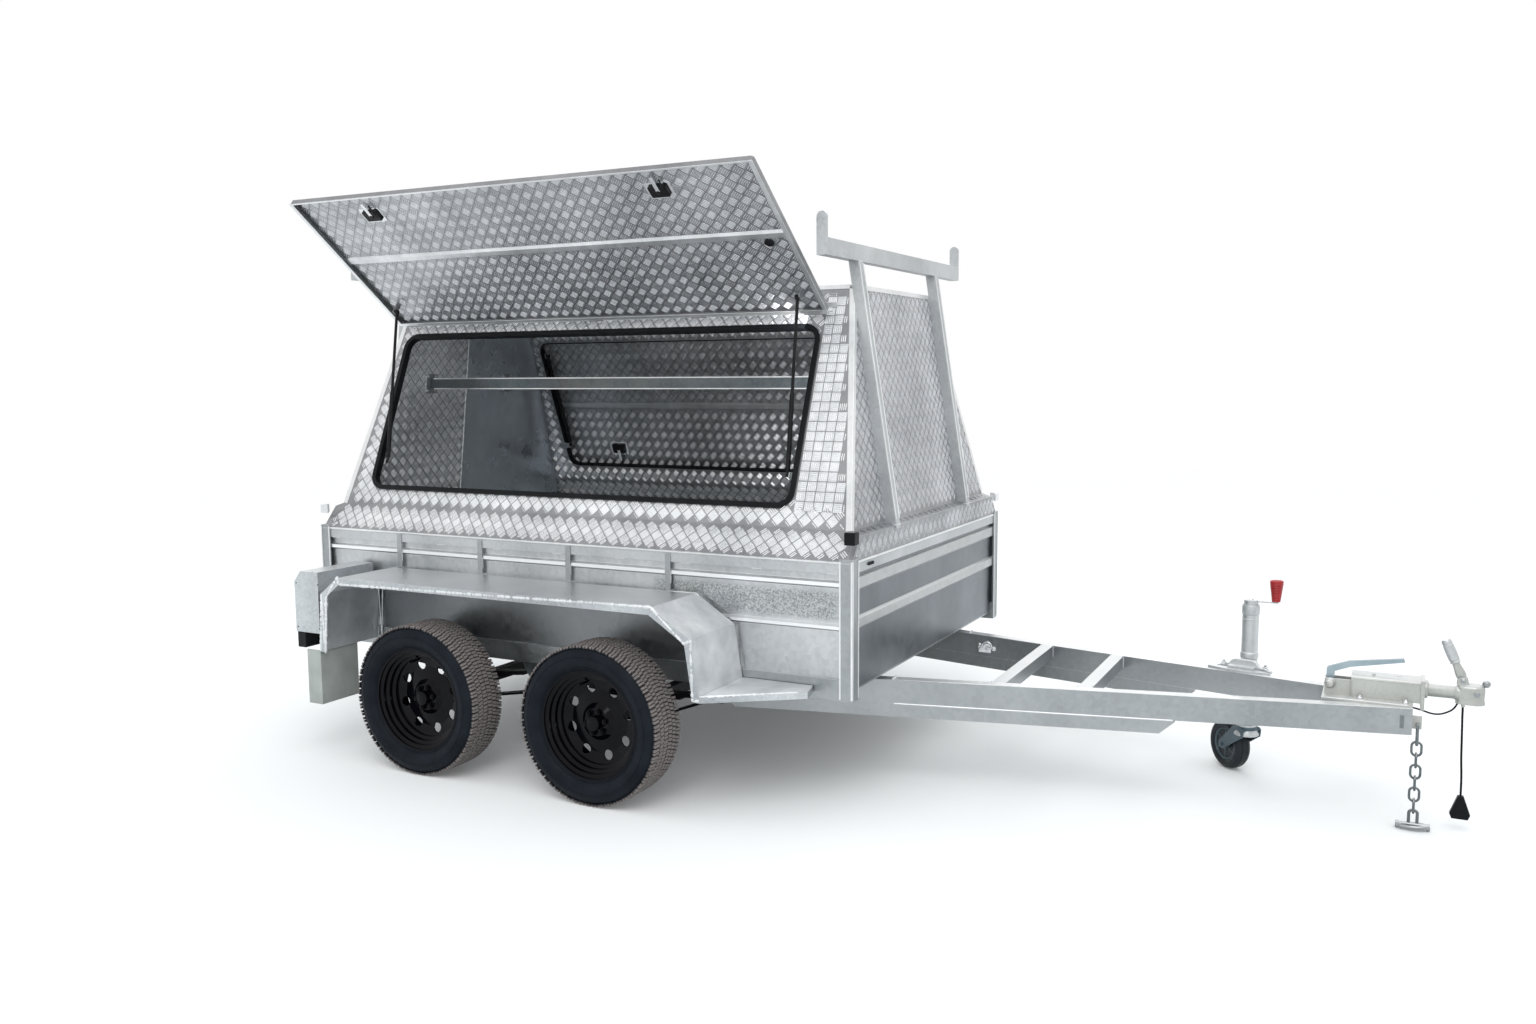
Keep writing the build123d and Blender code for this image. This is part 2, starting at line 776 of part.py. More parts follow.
def build_canopy():
    outer = canopy_solid(0.0, 0.0)
    inner = canopy_solid(canopy_wall, 5.0)
    shell = outer - inner
    front_in = [(front_x - s, z) for s, z in end_profile(canopy_wall, roof_front_setback)]
    rear_in = [(rear_x + s, z) for s, z in end_profile(canopy_wall, roof_rear_setback)]
    reach = 300.0
    top = roof_height + reach
    front_run = (front_in[3][0] - front_in[2][0]) / (front_in[3][1] - front_in[2][1])
    rear_run = (rear_in[3][0] - rear_in[2][0]) / (rear_in[3][1] - rear_in[2][1])
    front_tip = (front_in[3][0] + front_run * (top - front_in[3][1]), top)
    rear_tip = (rear_in[3][0] + rear_run * (top - rear_in[3][1]), top)
    ahead = [(front_x + reach, canopy_base - 1), (front_x + reach, top), front_tip, front_in[2], front_in[1]]
    ahead += [(front_in[0][0], canopy_base - 1)]
    behind = [(rear_x - reach, canopy_base - 1), (rear_x - reach, top), rear_tip, rear_in[2], rear_in[1]]
    behind += [(rear_in[0][0], canopy_base - 1)]
    front_zone = prism_y(ahead, -side_y - 60, side_y + 60)
    rear_zone = prism_y(behind, -side_y - 60, side_y + 60)
    front_wall = shell & front_zone
    rear_wall = shell & rear_zone
    middle = shell - front_zone - rear_zone
    roof_zone = block(rear_x - 60, front_x + 60, -side_y, side_y, roof_height - canopy_wall, top)
    nodes["canopy_roof"] = middle & roof_zone
    sides = middle - roof_zone
    nodes["canopy_front_wall"] = front_wall
    nodes["canopy_rear_wall"] = rear_wall
    walls, seals = [], []
    for sign in (-1, 1):
        half = sides & block(rear_x - 60, front_x + 60, 0, sign * side_y, canopy_base - 5, top)
        cut = opening_prism(sign, 0.0, -canopy_wall * 2, canopy_wall)
        walls.append(half - cut)
        bead = opening_prism(sign, seal_outside, 0.0, seal_bead) - opening_prism(
            sign, -seal_inside, -1.0, seal_bead + 1
        )
        grip = opening_prism(sign, 0.0, -canopy_wall, 0.0) - opening_prism(
            sign, -seal_inside, -canopy_wall - 1, 1.0
        )
        seals.append(bead + grip)
    nodes["canopy_sides"] = group(*walls)
    nodes["door_seals"] = group(*seals)
    caps = []
    base_half = skin_y - canopy_inset
    cap = block(
        front_x - cap_leg,
        front_x + cap_sheet,
        base_half - cap_leg,
        base_half + cap_sheet,
        ledge_top - cap_drop,
        ledge_top + cap_rise,
    )
    cap = cap - outer
    cap = max(cap.solids(), key=lambda solid: solid.volume)
    rear_cap = mirror(cap, about=Plane(origin=((front_x + rear_x) / 2, 0, 0), z_dir=(1, 0, 0)))
    for piece in (cap, rear_cap):
        caps += [piece, left_of(piece)]
    nodes["corner_caps"] = group(*caps)
    bar_top = inner_bar_bottom + inner_bar_height
    bar = block(
        rear_x, front_x, -inner_bar_y - inner_bar_width, -inner_bar_y, inner_bar_bottom, bar_top
    ) & inner
    nodes["inner_bar"] = group(bar, left_of(bar))
    return outer


# Gull-wing doors and their struts --------------------------------------------------------


def door_axis(sign):
    """Point and direction of a door's hinge, in the row frame."""
    centre = wall_plane(sign) * Pos(0, door_hinge_up, door_gap + door_depth / 2)
    return Vector(*centre.position)


def opened(shape, sign):
    """A right-hand piece turned up with its open door; the left door is stored shut."""
    if sign > 0:
        return shape
    pivot = door_axis(sign)
    return shape.rotate(Axis((pivot.X, pivot.Y, pivot.Z), (1, 0, 0)), -door_open_angle)


def build_door(sign, name):
    x0 = at(opening_rear_x) - door_overlap
    x1 = at(opening_front_x) + door_overlap
    top = door_hinge_up - 10.0
    low = door_low
    out0, out1 = door_gap, door_gap + door_depth
    pan = local_ring(sign, x0, x1, low, top, 12.0, out0, out1)
    hollow = local_ring(
        sign,
        x0 + door_sheet,
        x1 - door_sheet,
        low + door_sheet,
        top - door_sheet,
        9.0,
        out0 - 1,
        out1 - door_sheet,
    )
    door = pan - hollow
    knuckle = hinge_pin_radius + 3.0
    knuckle_length = 70.0
    count = 5
    spacing = (x1 - x0 - knuckle_length * 2) / (count - 1)
    for index in range(count):
        start = x0 + knuckle_length / 2 + index * spacing
        sleeve = local_rod(sign, start, start + knuckle_length, knuckle)
        arm = local_block(
            sign, start, start + knuckle_length, top - 2.0, door_hinge_up, out1 - 10.0, out1 - 4.0
        )
        bore = local_rod(sign, start - 1, start + knuckle_length + 1, hinge_pin_radius + hinge_clearance)
        door = door + sleeve + arm - bore
    for strut_x in strut_places():
        side = 1 if strut_x > at((opening_rear_x + opening_front_x) / 2) else -1
        near = strut_x + side * 9.0
        up = door_hinge_up - strut_door_drop
        tab = local_block(
            sign, near, near + side * 4.0, up - 12.0, up + 12.0, strut_door_out - 8.0, out1 - 1.0
        )
        door = door + tab
    nodes["door_" + name] = opened(door, sign)
    leaf = local_block(sign, x0, x1, door_hinge_up + 12.0, door_hinge_up + 34.0, 0.0, 3.0)
    pin = local_rod(sign, x0, x1, hinge_pin_radius)
    hinge = leaf + pin
    for index in range(count - 1):
        start = x0 + knuckle_length * 1.5 + index * spacing + 6.0
        end = x0 + knuckle_length * 0.5 + (index + 1) * spacing - 6.0
        out = door_gap + door_depth / 2
        hinge += local_block(
            sign, start, end, door_hinge_up - 2.0, door_hinge_up + 16.0, out - 3.0, out + 3.0
        )
        hinge += local_block(sign, start, end, door_hinge_up + 12.0, door_hinge_up + 16.0, 0.0, out + 3.0)
    return hinge


def local_rod(sign, x0, x1, radius):
    """Round bar along X on a door's hinge line."""
    pivot = door_axis(sign)
    return rod((x0, pivot.Y, pivot.Z), (x1, pivot.Y, pivot.Z), radius)


def strut_places():
    """Row X of the two struts of a door."""
    return [at(opening_rear_x) + strut_from_jamb, at(opening_front_x) - strut_from_jamb]


def strut_ends(open_angle):
    """Base and rod-eye points of a strut, as (up, out) in the wall plane, for a door angle."""
    angle = radians(open_angle)
    axis_up, axis_out = door_hinge_up, door_gap + door_depth / 2
    up, out = -strut_door_drop, strut_door_out - axis_out
    turned_up = up * cos(angle) + out * sin(angle)
    turned_out = -up * sin(angle) + out * cos(angle)
    return (strut_base_up, strut_base_in), (axis_up + turned_up, axis_out + turned_out)


def strut_motion():
    """Turn of the strut, in degrees, and its growth, as the door goes from shut to open."""
    base, shut = strut_ends(0.0)
    _, raised = strut_ends(door_open_angle)
    turn = atan2(raised[1] - base[1], raised[0] - base[0]) - atan2(shut[1] - base[1], shut[0] - base[0])
    growth = hypot(raised[0] - base[0], raised[1] - base[1]) - hypot(shut[0] - base[0], shut[1] - base[1])
    return degrees(turn), growth


def build_struts(sign, name):
    base, eye = strut_ends(door_open_angle if sign < 0 else 0.0)
    plane = wall_plane(sign)
    turn = 1 if sign < 0 else -1
    run = Vector(0, eye[0] - base[0], eye[1] - base[1])
    length = run.length
    step = run.normalized()
    tubes, rods, anchors = [], [], []
    for strut_x in strut_places():
        x = turn * strut_x
        foot = Vector(x, base[0], base[1])
        tube_start = foot + step * 17.0
        tube_end = foot + step * strut_tube_length
        rod_start = foot + step * (length - strut_rod_length)
        rod_end = foot + step * (length - 6.0)
        tube = rod(tuple(tube_start), tuple(tube_end), strut_tube_radius)
        tube -= rod(tuple(foot + step * 27.0), tuple(tube_end + step), strut_rod_radius + 0.06)
        ball = rod(tuple(foot - Vector(6, 0, 0)), tuple(foot + Vector(6, 0, 0)), strut_eye_radius)
        ball -= rod(tuple(foot - Vector(7, 0, 0)), tuple(foot + Vector(7, 0, 0)), 3.55)
        neck = rod(tuple(foot + step * 5.0), tuple(tube_start + step), 4.5)
        tubes.append(plane * (tube + ball + neck))
        eye_point = foot + step * length
        shaft = rod(tuple(rod_start), tuple(rod_end), strut_rod_radius)
        eye_ball = rod(
            tuple(eye_point - Vector(6, 0, 0)), tuple(eye_point + Vector(6, 0, 0)), strut_eye_radius
        )
        rods.append(plane * (shaft + eye_ball))
        reach = turn if strut_x > at(-tub_length / 2) else -turn
        lug_near, lug_far = x + reach * 7.5, x + reach * 12.0
        plate_far = x + reach * (strut_from_jamb + 34.0)
        up0, up1 = base[0] - 14.0, base[0] + 14.0
        stud = rod((x - reach * 8.0, base[0], base[1]), (lug_far, base[0], base[1]), 3.5)
        lug = block(lug_near, lug_far, up0, base[0] + 9.0, -canopy_wall - 4.0, base[1] + 8.0)
        plate = block(lug_near, plate_far, up0, up1, -canopy_wall - 4.0, -canopy_wall)
        anchors.append(plane * (stud + lug + plate))
    nodes["strut_tubes_" + name] = group(*tubes)
    nodes["strut_rods_" + name] = group(*rods)
    return anchors


# Ladder racks -----------------------------------------------------------------------------


def build_rack(end, outer, name):
    """Two leaning posts and a cross bar with an upright horn at each end; end +1 is the front."""
    setback = roof_front_setback if end > 0 else roof_rear_setback
    base_x = front_x if end > 0 else rear_x
    run = setback - hip_setback
    rise = roof_height - hip_height
    slope = run / rise
    lean = hypot(run, rise) / rise

    def face_x(z, proud):
        return base_x - end * (hip_setback + slope * (z - hip_height) - proud * lean)

    low, high = ledge_top - 10.0, rack_bar_bottom
    points = [
        (face_x(low, 0.0), low),
        (face_x(low, rack_post), low),
        (face_x(high, rack_post), high),
        (face_x(high, 0.0), high),
    ]
    post = prism_y(points, rack_post_y - rack_post / 2, rack_post_y + rack_post / 2) - outer
    post = max(post.solids(), key=lambda solid: solid.volume)
    stand_off = rack_bar_stand_off[name]
    bar_near, bar_far = face_x(high, rack_post) + end * stand_off, face_x(high, 0.0) + end * stand_off
    bar = block(bar_near, bar_far, -rack_bar_half, rack_bar_half, high, high + rack_bar_height)
    horn_top = high + rack_bar_height + rack_horn_rise
    horn = block(bar_near, bar_far, rack_bar_half, rack_bar_half + rack_horn_sheet, high, horn_top)
    rounding = (abs(bar_near - bar_far) / 2) - 1.0
    tops = horn.edges().filter_by(Axis.Y).group_by(Axis.Z)[-1]
    horn = fillet(tops, radius=rounding)
    return post + left_of(post) + bar + horn + left_of(horn)


# Drawbar, coupling, chain -------------------------------------------------------------------


def rail_outer_y(x):
    """Outer face of the left drawbar rail at a place given from the tub's front."""
    return drawbar_spread - (drawbar_spread - drawbar_nose) * x / drawbar_reach


def drawbar_band(x0, x1, outer_step, inner_step):
    """Plan outline of a stretch of the left rail, by steps in from its outer face."""
    lean = hypot(drawbar_reach, drawbar_spread - drawbar_nose) / drawbar_reach
    return [
        (at(x0), rail_outer_y(x0) - outer_step * lean),
        (at(x1), rail_outer_y(x1) - outer_step * lean),
        (at(x1), rail_outer_y(x1) - inner_step * lean),
        (at(x0), rail_outer_y(x0) - inner_step * lean),
    ]


def build_drawbar():
    top = chassis_bottom
    low = top - drawbar_rail_height
    rail = prism_z(drawbar_band(drawbar_tail_x, drawbar_reach, 0.0, drawbar_rail_width), low, top)
    core = prism_z(
        drawbar_band(
            drawbar_tail_x - 1, drawbar_reach - 4.0, drawbar_wall, drawbar_rail_width - drawbar_wall
        ),
        low + drawbar_wall,
        top - drawbar_wall,
    )
    rail = rail - core
    nodes["drawbar_rails"] = group(rail, left_of(rail))
    taper = doubler_height
    doubler = prism_z(
        drawbar_band(doubler_rear_x, doubler_front_x + taper, 0.0, drawbar_rail_width),
        low - doubler_height,
        low,
    )
    wedge = prism_y(
        [
            (at(doubler_front_x), low - doubler_height - 1),
            (at(doubler_front_x + taper) + 2, low - 6.0),
            (at(doubler_front_x + taper) + 2, low - doubler_height - 1),
        ],
        0,
        side_y,
    )
    heel = prism_y(
        [
            (at(doubler_rear_x) - 1, low - doubler_height - 1),
            (at(doubler_rear_x) - 1, low - 20.0),
            (at(doubler_rear_x) + 26.0, low - doubler_height - 1),
        ],
        0,
        side_y,
    )
    doubler = doubler - wedge - heel
    nodes["drawbar_doublers"] = group(doubler, left_of(doubler))
    members = []
    member_width = 50.0
    for place in drawbar_member_x:
        x0, x1 = place - member_width / 2, place + member_width / 2
        lean = hypot(drawbar_reach, drawbar_spread - drawbar_nose) / drawbar_reach
        y0 = rail_outer_y(x0) - drawbar_rail_width * lean
        y1 = rail_outer_y(x1) - drawbar_rail_width * lean
        members.append(
            prism_z([(at(x0), -y0), (at(x1), -y1), (at(x1), y1), (at(x0), y0)], top - 50.0, top)
        )
    nodes["cross_members"] = group(nodes["cross_members"], *members)
    x0, x1 = at(coupling_body_rear - 90.0), at(drawbar_reach)
    half = drawbar_nose - 6.0
    nodes["coupling_plate"] = block(x0, x1, -half, half, top, top + coupling_plate)


def coupling_line_z():
    """Height of the coupling's sliding neck."""
    return chassis_bottom + coupling_plate + coupling_body_height / 2 + 4.0


def build_coupling():
    base_z = chassis_bottom + coupling_plate
    top_z = base_z + coupling_body_height
    line_z = coupling_line_z()
    x0, x1 = at(coupling_body_rear), at(coupling_body_front)
    body = block(x0, x1 - 12.0, -coupling_body_half, coupling_body_half, base_z, top_z)
    body = fillet(body.edges().filter_by(Axis.X).group_by(Axis.Z)[-1], radius=10.0)
    flange = block(x1 - 12.0, x1, -coupling_body_half - 4, coupling_body_half + 4, base_z - 22.0, top_z + 3.0)
    flange = flange & block(at(drawbar_reach) + 0.5, x1 + 1, -200, 200, base_z - 60.0, top_z + 60.0)
    body = body + flange
    for sign in (-1, 1):
        ear = block(x0 - 84.0, x0 + 4.0, sign * 22.0, sign * 30.0, base_z, base_z + 54.0)
        body = body + ear
    bore = rod((x0 + 20.0, 0, line_z), (x1 + 1, 0, line_z), coupling_neck_radius + coupling_neck_clearance)
    nodes["coupling_body"] = body - bore
    neck = rod((x0 + 110.0, 0, line_z), (at(coupling_ball_x) - 36.0, 0, line_z), coupling_neck_radius)
    head_low, head_high = line_z - 36.0, line_z + 30.0
    head = block(at(coupling_ball_x) - 52.0, at(coupling_ball_x), -31.0, 31.0, head_low, head_high)
    dome = Pos(at(coupling_ball_x), 0, (head_low + head_high) / 2) * Cylinder(31.0, head_high - head_low)
    head = head + dome
    socket_radius = coupling_ball_radius + coupling_ball_clearance
    socket = Pos(at(coupling_ball_x), 0, head_low + 20.0) * Cylinder(socket_radius, 44.0)
    head = head - socket
    knob = Pos(at(coupling_reach) - 13.0, 0, head_high + 4.0) * Sphere(12.0)
    stalk = rod(
        (at(coupling_ball_x) + 20.0, 0, head_high - 8.0),
        (at(coupling_reach) - 13.0, 0, head_high + 4.0),
        6.0,
    )
    nodes["coupling_head"] = neck + head + stalk + knob
    pivot = coupling_handle_pivot()
    ears = block(pivot.X - 16.0, pivot.X + 16.0, 12.0, 20.0, head_high - 2.0, pivot.Z + 10.0)
    ears = group(ears, left_of(ears))
    pin = disc_y(pivot.X, -20.0, 20.0, pivot.Z, 5.0)
    nodes["coupling_head"] = nodes["coupling_head"] + ears + pin
    boss = disc_y(pivot.X, -7.0, 7.0, pivot.Z, 11.0)
    tip = Vector(at(1814.0), 0, pivot.Z + 126.0)
    run = (tip - pivot).normalized()
    stem = rod(tuple(pivot + run * 6.0), tuple(pivot + run * 62.0), 7.0)
    grip = rod(tuple(pivot + run * 60.0), tuple(tip + run * 8.0), 13.0)
    handle = boss + stem + grip
    handle = handle - disc_y(pivot.X, -8.0, 8.0, pivot.Z, 5.0 + hinge_clearance)
    nodes["coupling_handle"] = handle


def coupling_handle_pivot():
    """Hinge point of the coupling's release handle."""
    return Vector(at(coupling_ball_x) - 36.0, 0, coupling_line_z() + 44.0)


def brake_pivot():
    """Hinge point of the parking-brake lever."""
    return Vector(at(coupling_body_rear) - 66.0, 0, chassis_bottom + coupling_plate + 38.0)


def build_brake_lever():
    pivot = brake_pivot()
    nodes["coupling_body"] = nodes["coupling_body"] + disc_y(pivot.X, -36.0, 36.0, pivot.Z, 6.0)
    boss = disc_y(pivot.X, -9.0, 9.0, pivot.Z, 15.0)
    riser = block(pivot.X - 14.0, pivot.X + 12.0, -8.0, 8.0, pivot.Z + 6.0, pivot.Z + 46.0)
    arm_points = [
        (pivot.X - 14.0, pivot.Z + 36.0),
        (pivot.X - 12.0, pivot.Z + 52.0),
        (pivot.X + 56.0, pivot.Z + 78.0),
        (pivot.X + 226.0, pivot.Z + 102.0),
        (pivot.X + 230.0, pivot.Z + 90.0),
        (pivot.X + 62.0, pivot.Z + 58.0),
        (pivot.X + 12.0, pivot.Z + 38.0),
    ]
    arm = prism_y(arm_points, -8.0, 8.0)
    lever = boss + riser + arm - disc_y(pivot.X, -10.0, 10.0, pivot.Z, 6.0 + hinge_clearance)
    nodes["brake_lever"] = lever


def chain_loop(length, width, wire):
    """Round wire bent to a long loop, lying in the YZ plane with its length upright."""
    edge = SlotCenterToCenter(length - width, width - 2 * wire).face().outer_wire()
    section = Plane(origin=edge @ 0, z_dir=edge % 0) * Circle(wire)
    return Rot(0, 90, 0) * sweep(section, path=edge)


def shackle(wire, half_width, leg):
    """U-shaped bow in the YZ plane, crown down at z = 0 on its centre line, with a pin above."""
    path = Wire(
        [
            Edge.make_line((0, -half_width, leg + half_width), (0, -half_width, half_width)),
            Edge.make_three_point_arc((0, -half_width, half_width), (0, 0, 0), (0, half_width, half_width)),
            Edge.make_line((0, half_width, half_width), (0, half_width, leg + half_width)),
        ]
    )
    bow = sweep(Plane(origin=path @ 0, z_dir=path % 0) * Circle(wire), path=path)
    reach = half_width + wire + 6.0
    top = leg + half_width
    return bow + rod((0, -reach, top), (0, reach, top), wire + 1.5)


def build_chain():
    eye_x, eye_z = at(drawbar_reach) + 17.0, chassis_bottom - 58.0
    tab_y = -(drawbar_nose - drawbar_rail_width / 2)
    tab = block(at(drawbar_reach), eye_x + 12.0, tab_y - 4.0, tab_y + 4.0, eye_z - 14.0, eye_z + 30.0)
    tab = tab - disc_y(eye_x, tab_y - 5.0, tab_y + 5.0, eye_z, shackle_wire + 2.0)
    nodes["coupling_plate"] = group(nodes["coupling_plate"], tab)
    leg = 56.0
    top_shackle = Pos(eye_x, tab_y, eye_z - leg - shackle_half_width) * shackle(
        shackle_wire, shackle_half_width, leg
    )
    hook_z = eye_z - leg - shackle_half_width + shackle_wire + chain_wire + chain_slack
    links = []
    for index in range(chain_links):
        centre_z = hook_z - (chain_link_length / 2 - chain_wire)
        link = chain_loop(chain_link_length, chain_link_width, chain_wire)
        if index % 2 == 0:
            link = Rot(0, 0, 90) * link
        links.append(Pos(eye_x, tab_y, centre_z) * link)
        hook_z = centre_z - (chain_link_length / 2 - chain_wire) + 2 * chain_wire + chain_slack
    crown_z = hook_z - chain_wire + shackle_wire
    end_leg = crown_z - shackle_half_width - shackle_wire - 1.5 - chain_floor_gap
    end_shackle = Rot(180, 0, 0) * shackle(shackle_wire, shackle_half_width, end_leg)
    end_shackle = Pos(eye_x, tab_y, crown_z) * Rot(0, 0, 90) * end_shackle
    nodes["safety_chain"] = group(top_shackle, *links, end_shackle)


# Jockey wheel ---------------------------------------------------------------------------------


def jockey_seat():
    """Plane on the ground under the jockey tube: x along the left rail, y out from its side."""
    lean = atan2(drawbar_spread - drawbar_nose, drawbar_reach)
    out = jockey_rail_gap + jockey_tube_radius
    origin = (at(jockey_x) + out * sin(lean), rail_outer_y(jockey_x) + out * cos(lean), 0)
    return Plane(origin=origin, x_dir=(cos(lean), -sin(lean), 0), z_dir=(0, 0, 1))


def build_jockey():
    seat = jockey_seat()
    rail_y = -(jockey_rail_gap + jockey_tube_radius)
    rail_in = rail_y - drawbar_rail_width
    lens = make_face(
        [
            Edge.make_three_point_arc((-125, rail_in + 22, 0), (0, rail_in + 1, 0), (108, rail_in + 22, 0)),
            Edge.make_three_point_arc((108, rail_in + 22, 0), (0, rail_y, 0), (-125, rail_in + 22, 0)),
        ]
    )
    plate = Pos(0, 0, chassis_bottom) * extrude(lens, amount=10.0)
    crown = Pos(0, 0, chassis_bottom + 9.0) * extrude(lens.scale(0.62), amount=12.0)
    cheek = block(-48, 48, rail_y, rail_y + 8.0, chassis_bottom - 84.0, chassis_bottom + 21.0)
    bridge = block(-48, 48, rail_in + 14.0, rail_y + 8.0, chassis_bottom + 8.0, chassis_bottom + 21.0)
    drum = disc_y(0, rail_y + 7.0, -jockey_tube_radius - 6.0, jockey_pivot_up, jockey_drum_radius)
    nodes["jockey_bracket"] = seat * (plate + crown + cheek + bridge + drum)
    tube = rod((0, 0, jockey_tube_bottom), (0, 0, jockey_tube_top), jockey_tube_radius)
    saddle = disc_y(
        0, -jockey_tube_radius - 5.5, -jockey_tube_radius + 8.0, jockey_pivot_up, jockey_drum_radius
    )
    bore = rod(
        (0, 0, jockey_tube_bottom - 1),
        (0, 0, jockey_tube_top - 3.0),
        jockey_leg_radius + jockey_leg_clearance,
    )
    nodes["jockey_tube"] = seat * (tube + saddle - bore)
    leg = rod((0, 0, jockey_leg_bottom), (0, 0, jockey_leg_top), jockey_leg_radius)
    flange = rod((0, 0, jockey_leg_bottom), (0, 0, jockey_tube_bottom - 5.0), jockey_tube_radius + 6.0)
    nodes["jockey_leg"] = seat * (leg + flange)
    castor = seat * Rot(0, 0, -jockey_swivel)
    wheel_x, wheel_z = -jockey_trail, jockey_wheel_radius
    half = jockey_wheel_width / 2
    crown_low = jockey_leg_bottom - 12.0
    fork = rod((0, 0, crown_low), (0, 0, jockey_leg_bottom - 0.3), jockey_tube_radius + 10.0)
    for sign in (-1, 1):
        inside = sign * (half + fork_clearance)
        outside = inside + sign * fork_sheet
        points = [
            (24.0, crown_low + 8.0),
            (-28.0, crown_low + 8.0),
            (wheel_x - 16.0, wheel_z + 8.0),
            (wheel_x - 14.0, wheel_z - 14.0),
            (wheel_x + 12.0, wheel_z - 16.0),
            (30.0, crown_low - 26.0),
            (34.0, crown_low + 2.0),
        ]
        fork += prism_y(points, min(inside, outside), max(inside, outside))
    fork += block(-20.0, 34.0, -half - fork_clearance, half + fork_clearance, crown_low, crown_low + 4.0)
    room = half + fork_clearance
    fork -= disc_y(wheel_x, -room, room, wheel_z, jockey_wheel_radius + fork_clearance)
    pin_reach = room + fork_sheet + 6.0
    fork += disc_y(wheel_x, -pin_reach, pin_reach, wheel_z, 8.0)
    nodes["jockey_fork"] = castor * fork
    wheel = disc_y(wheel_x, -half, half, wheel_z, jockey_wheel_radius)
    wheel = fillet(wheel.edges().filter_by(GeomType.CIRCLE), radius=13.0)
    wheel -= disc_y(wheel_x, -half - 1, half + 1, wheel_z, 8.0 + hinge_clearance)
    nodes["jockey_wheel"] = castor * wheel
    crank = rod((0, 0, jockey_tube_top + 0.5), (0, 0, jockey_tube_top + 16.0), jockey_tube_radius - 4.0)
    crank_turn = seat * Rot(0, 0, degrees(atan2(seat.y_dir.X, seat.y_dir.Y)))
    arm_z = jockey_tube_top + 14.0
    crank += block(-8.0, jockey_crank_reach + 8.0, -8.0, 8.0, arm_z - 5.0, arm_z)
    grip_points = [
        (0.0, arm_z), (14.0, arm_z), (18.0, arm_z + 20.0), (25.0, arm_z + 76.0), (18.0, arm_z + 84.0)
    ]
    grip_points.append((0.0, arm_z + 84.0))
    grip_face = make_face(Polyline([(radius, 0, height) for radius, height in grip_points], close=True))
    nodes["jockey_crank"] = crank_turn * crank
    nodes["jockey_grip"] = crank_turn * (Pos(jockey_crank_reach, 0, 0) * revolve(grip_face, axis=Axis.Z))


# Trailer lead -----------------------------------------------------------------------------------

lead_radius = 3.5
gland_radius = 7.5
plug_length = 78.0
plug_neck = 9.0
plug_half = 31.0
plug_sheet = 10.0
lead_points = [
    (1872.0, -17.0, 428.0),
    (1872.0, -17.0, 402.0),
    (1873.0, -21.0, 362.0),
    (1874.0, -29.0, 308.0),
    (1875.0, -37.0, 250.0),
    (1879.0, -42.0, 186.0),
    (1879.0, -42.0, 128.0),
]


def build_lead():
    points = [Vector(at(x), y, z) for x, y, z in lead_points]
    radii = []
    for before, point, after in zip(points, points[1:], points[2:]):
        turn = radians((point - before).get_angle(after - point))
        shorter = min((point - before).length, (after - point).length)
        radii.append(0.45 * shorter / tan(turn / 2))
    print("lead bend radii:", [round(radius) for radius in radii])
    path = FilletPolyline(*points, radius=radii)
    section = Plane(origin=points[0], z_dir=points[1] - points[0]) * Circle(lead_radius)
    cord = sweep(section, path=path)
    ratio = cord.volume / (pi * lead_radius**2 * path.length)
    print("lead length:", round(path.length), "volume ratio:", ratio)
    nodes["lead_cord"] = cord
    gland_low = points[0]
    head_low = coupling_line_z() - 36.0
    gland = rod(tuple(gland_low), (gland_low.X, gland_low.Y, head_low + 1.0), gland_radius)
    nodes["coupling_head"] = nodes["coupling_head"] + gland
    end = points[-1]
    shoulder = end.Z - plug_length * 0.8
    foot = plug_half * 0.78
    plug = prism_y(
        [
            (end.X - plug_neck, end.Z),
            (end.X + plug_neck, end.Z),
            (end.X + plug_half, shoulder),
            (end.X + foot, end.Z - plug_length),
            (end.X - foot, end.Z - plug_length),
            (end.X - plug_half, shoulder),
        ],
        end.Y - plug_sheet,
        end.Y + plug_sheet,
    )
    nodes["lead_plug"] = plug


def main():
    build_chassis()
    build_tub()
    build_tailgate()
    for end, end_letter in (("front", "f"), ("rear", "r")):
        for sign, side_letter in ((-1, "r"), (1, "l")):
            wheel_nodes(side_letter + end_letter, axle_xs[end], sign)
    build_axles()
    build_springs()
    build_guards()
    outer = build_canopy()
    hinges, anchors = [], []
    for sign, name in ((-1, "right"), (1, "left")):
        hinges.append(build_door(sign, name))
        anchors += build_struts(sign, name)
    nodes["door_hinges"] = group(*hinges)
    nodes["strut_anchors"] = group(*anchors)
    nodes["ladder_racks"] = group(build_rack(1, outer, "front"), build_rack(-1, outer, "rear"))
    build_drawbar()
    build_coupling()
    build_brake_lever()
    build_chain()
    build_jockey()
    build_lead()
    os.makedirs("parts", exist_ok=True)
    for name, shape in nodes.items():
        export_step(shape, "parts/" + name + ".step")
    print(len(nodes), "nodes; strut turn and growth:", strut_motion())
    print("front_x", front_x)


main()
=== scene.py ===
"""Looks of a tandem-axle canopy trailer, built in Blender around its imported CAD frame."""

import json
from math import cos, pi, radians, sin

import bmesh
import bpy
import numpy as np
from mathutils import Matrix, Vector


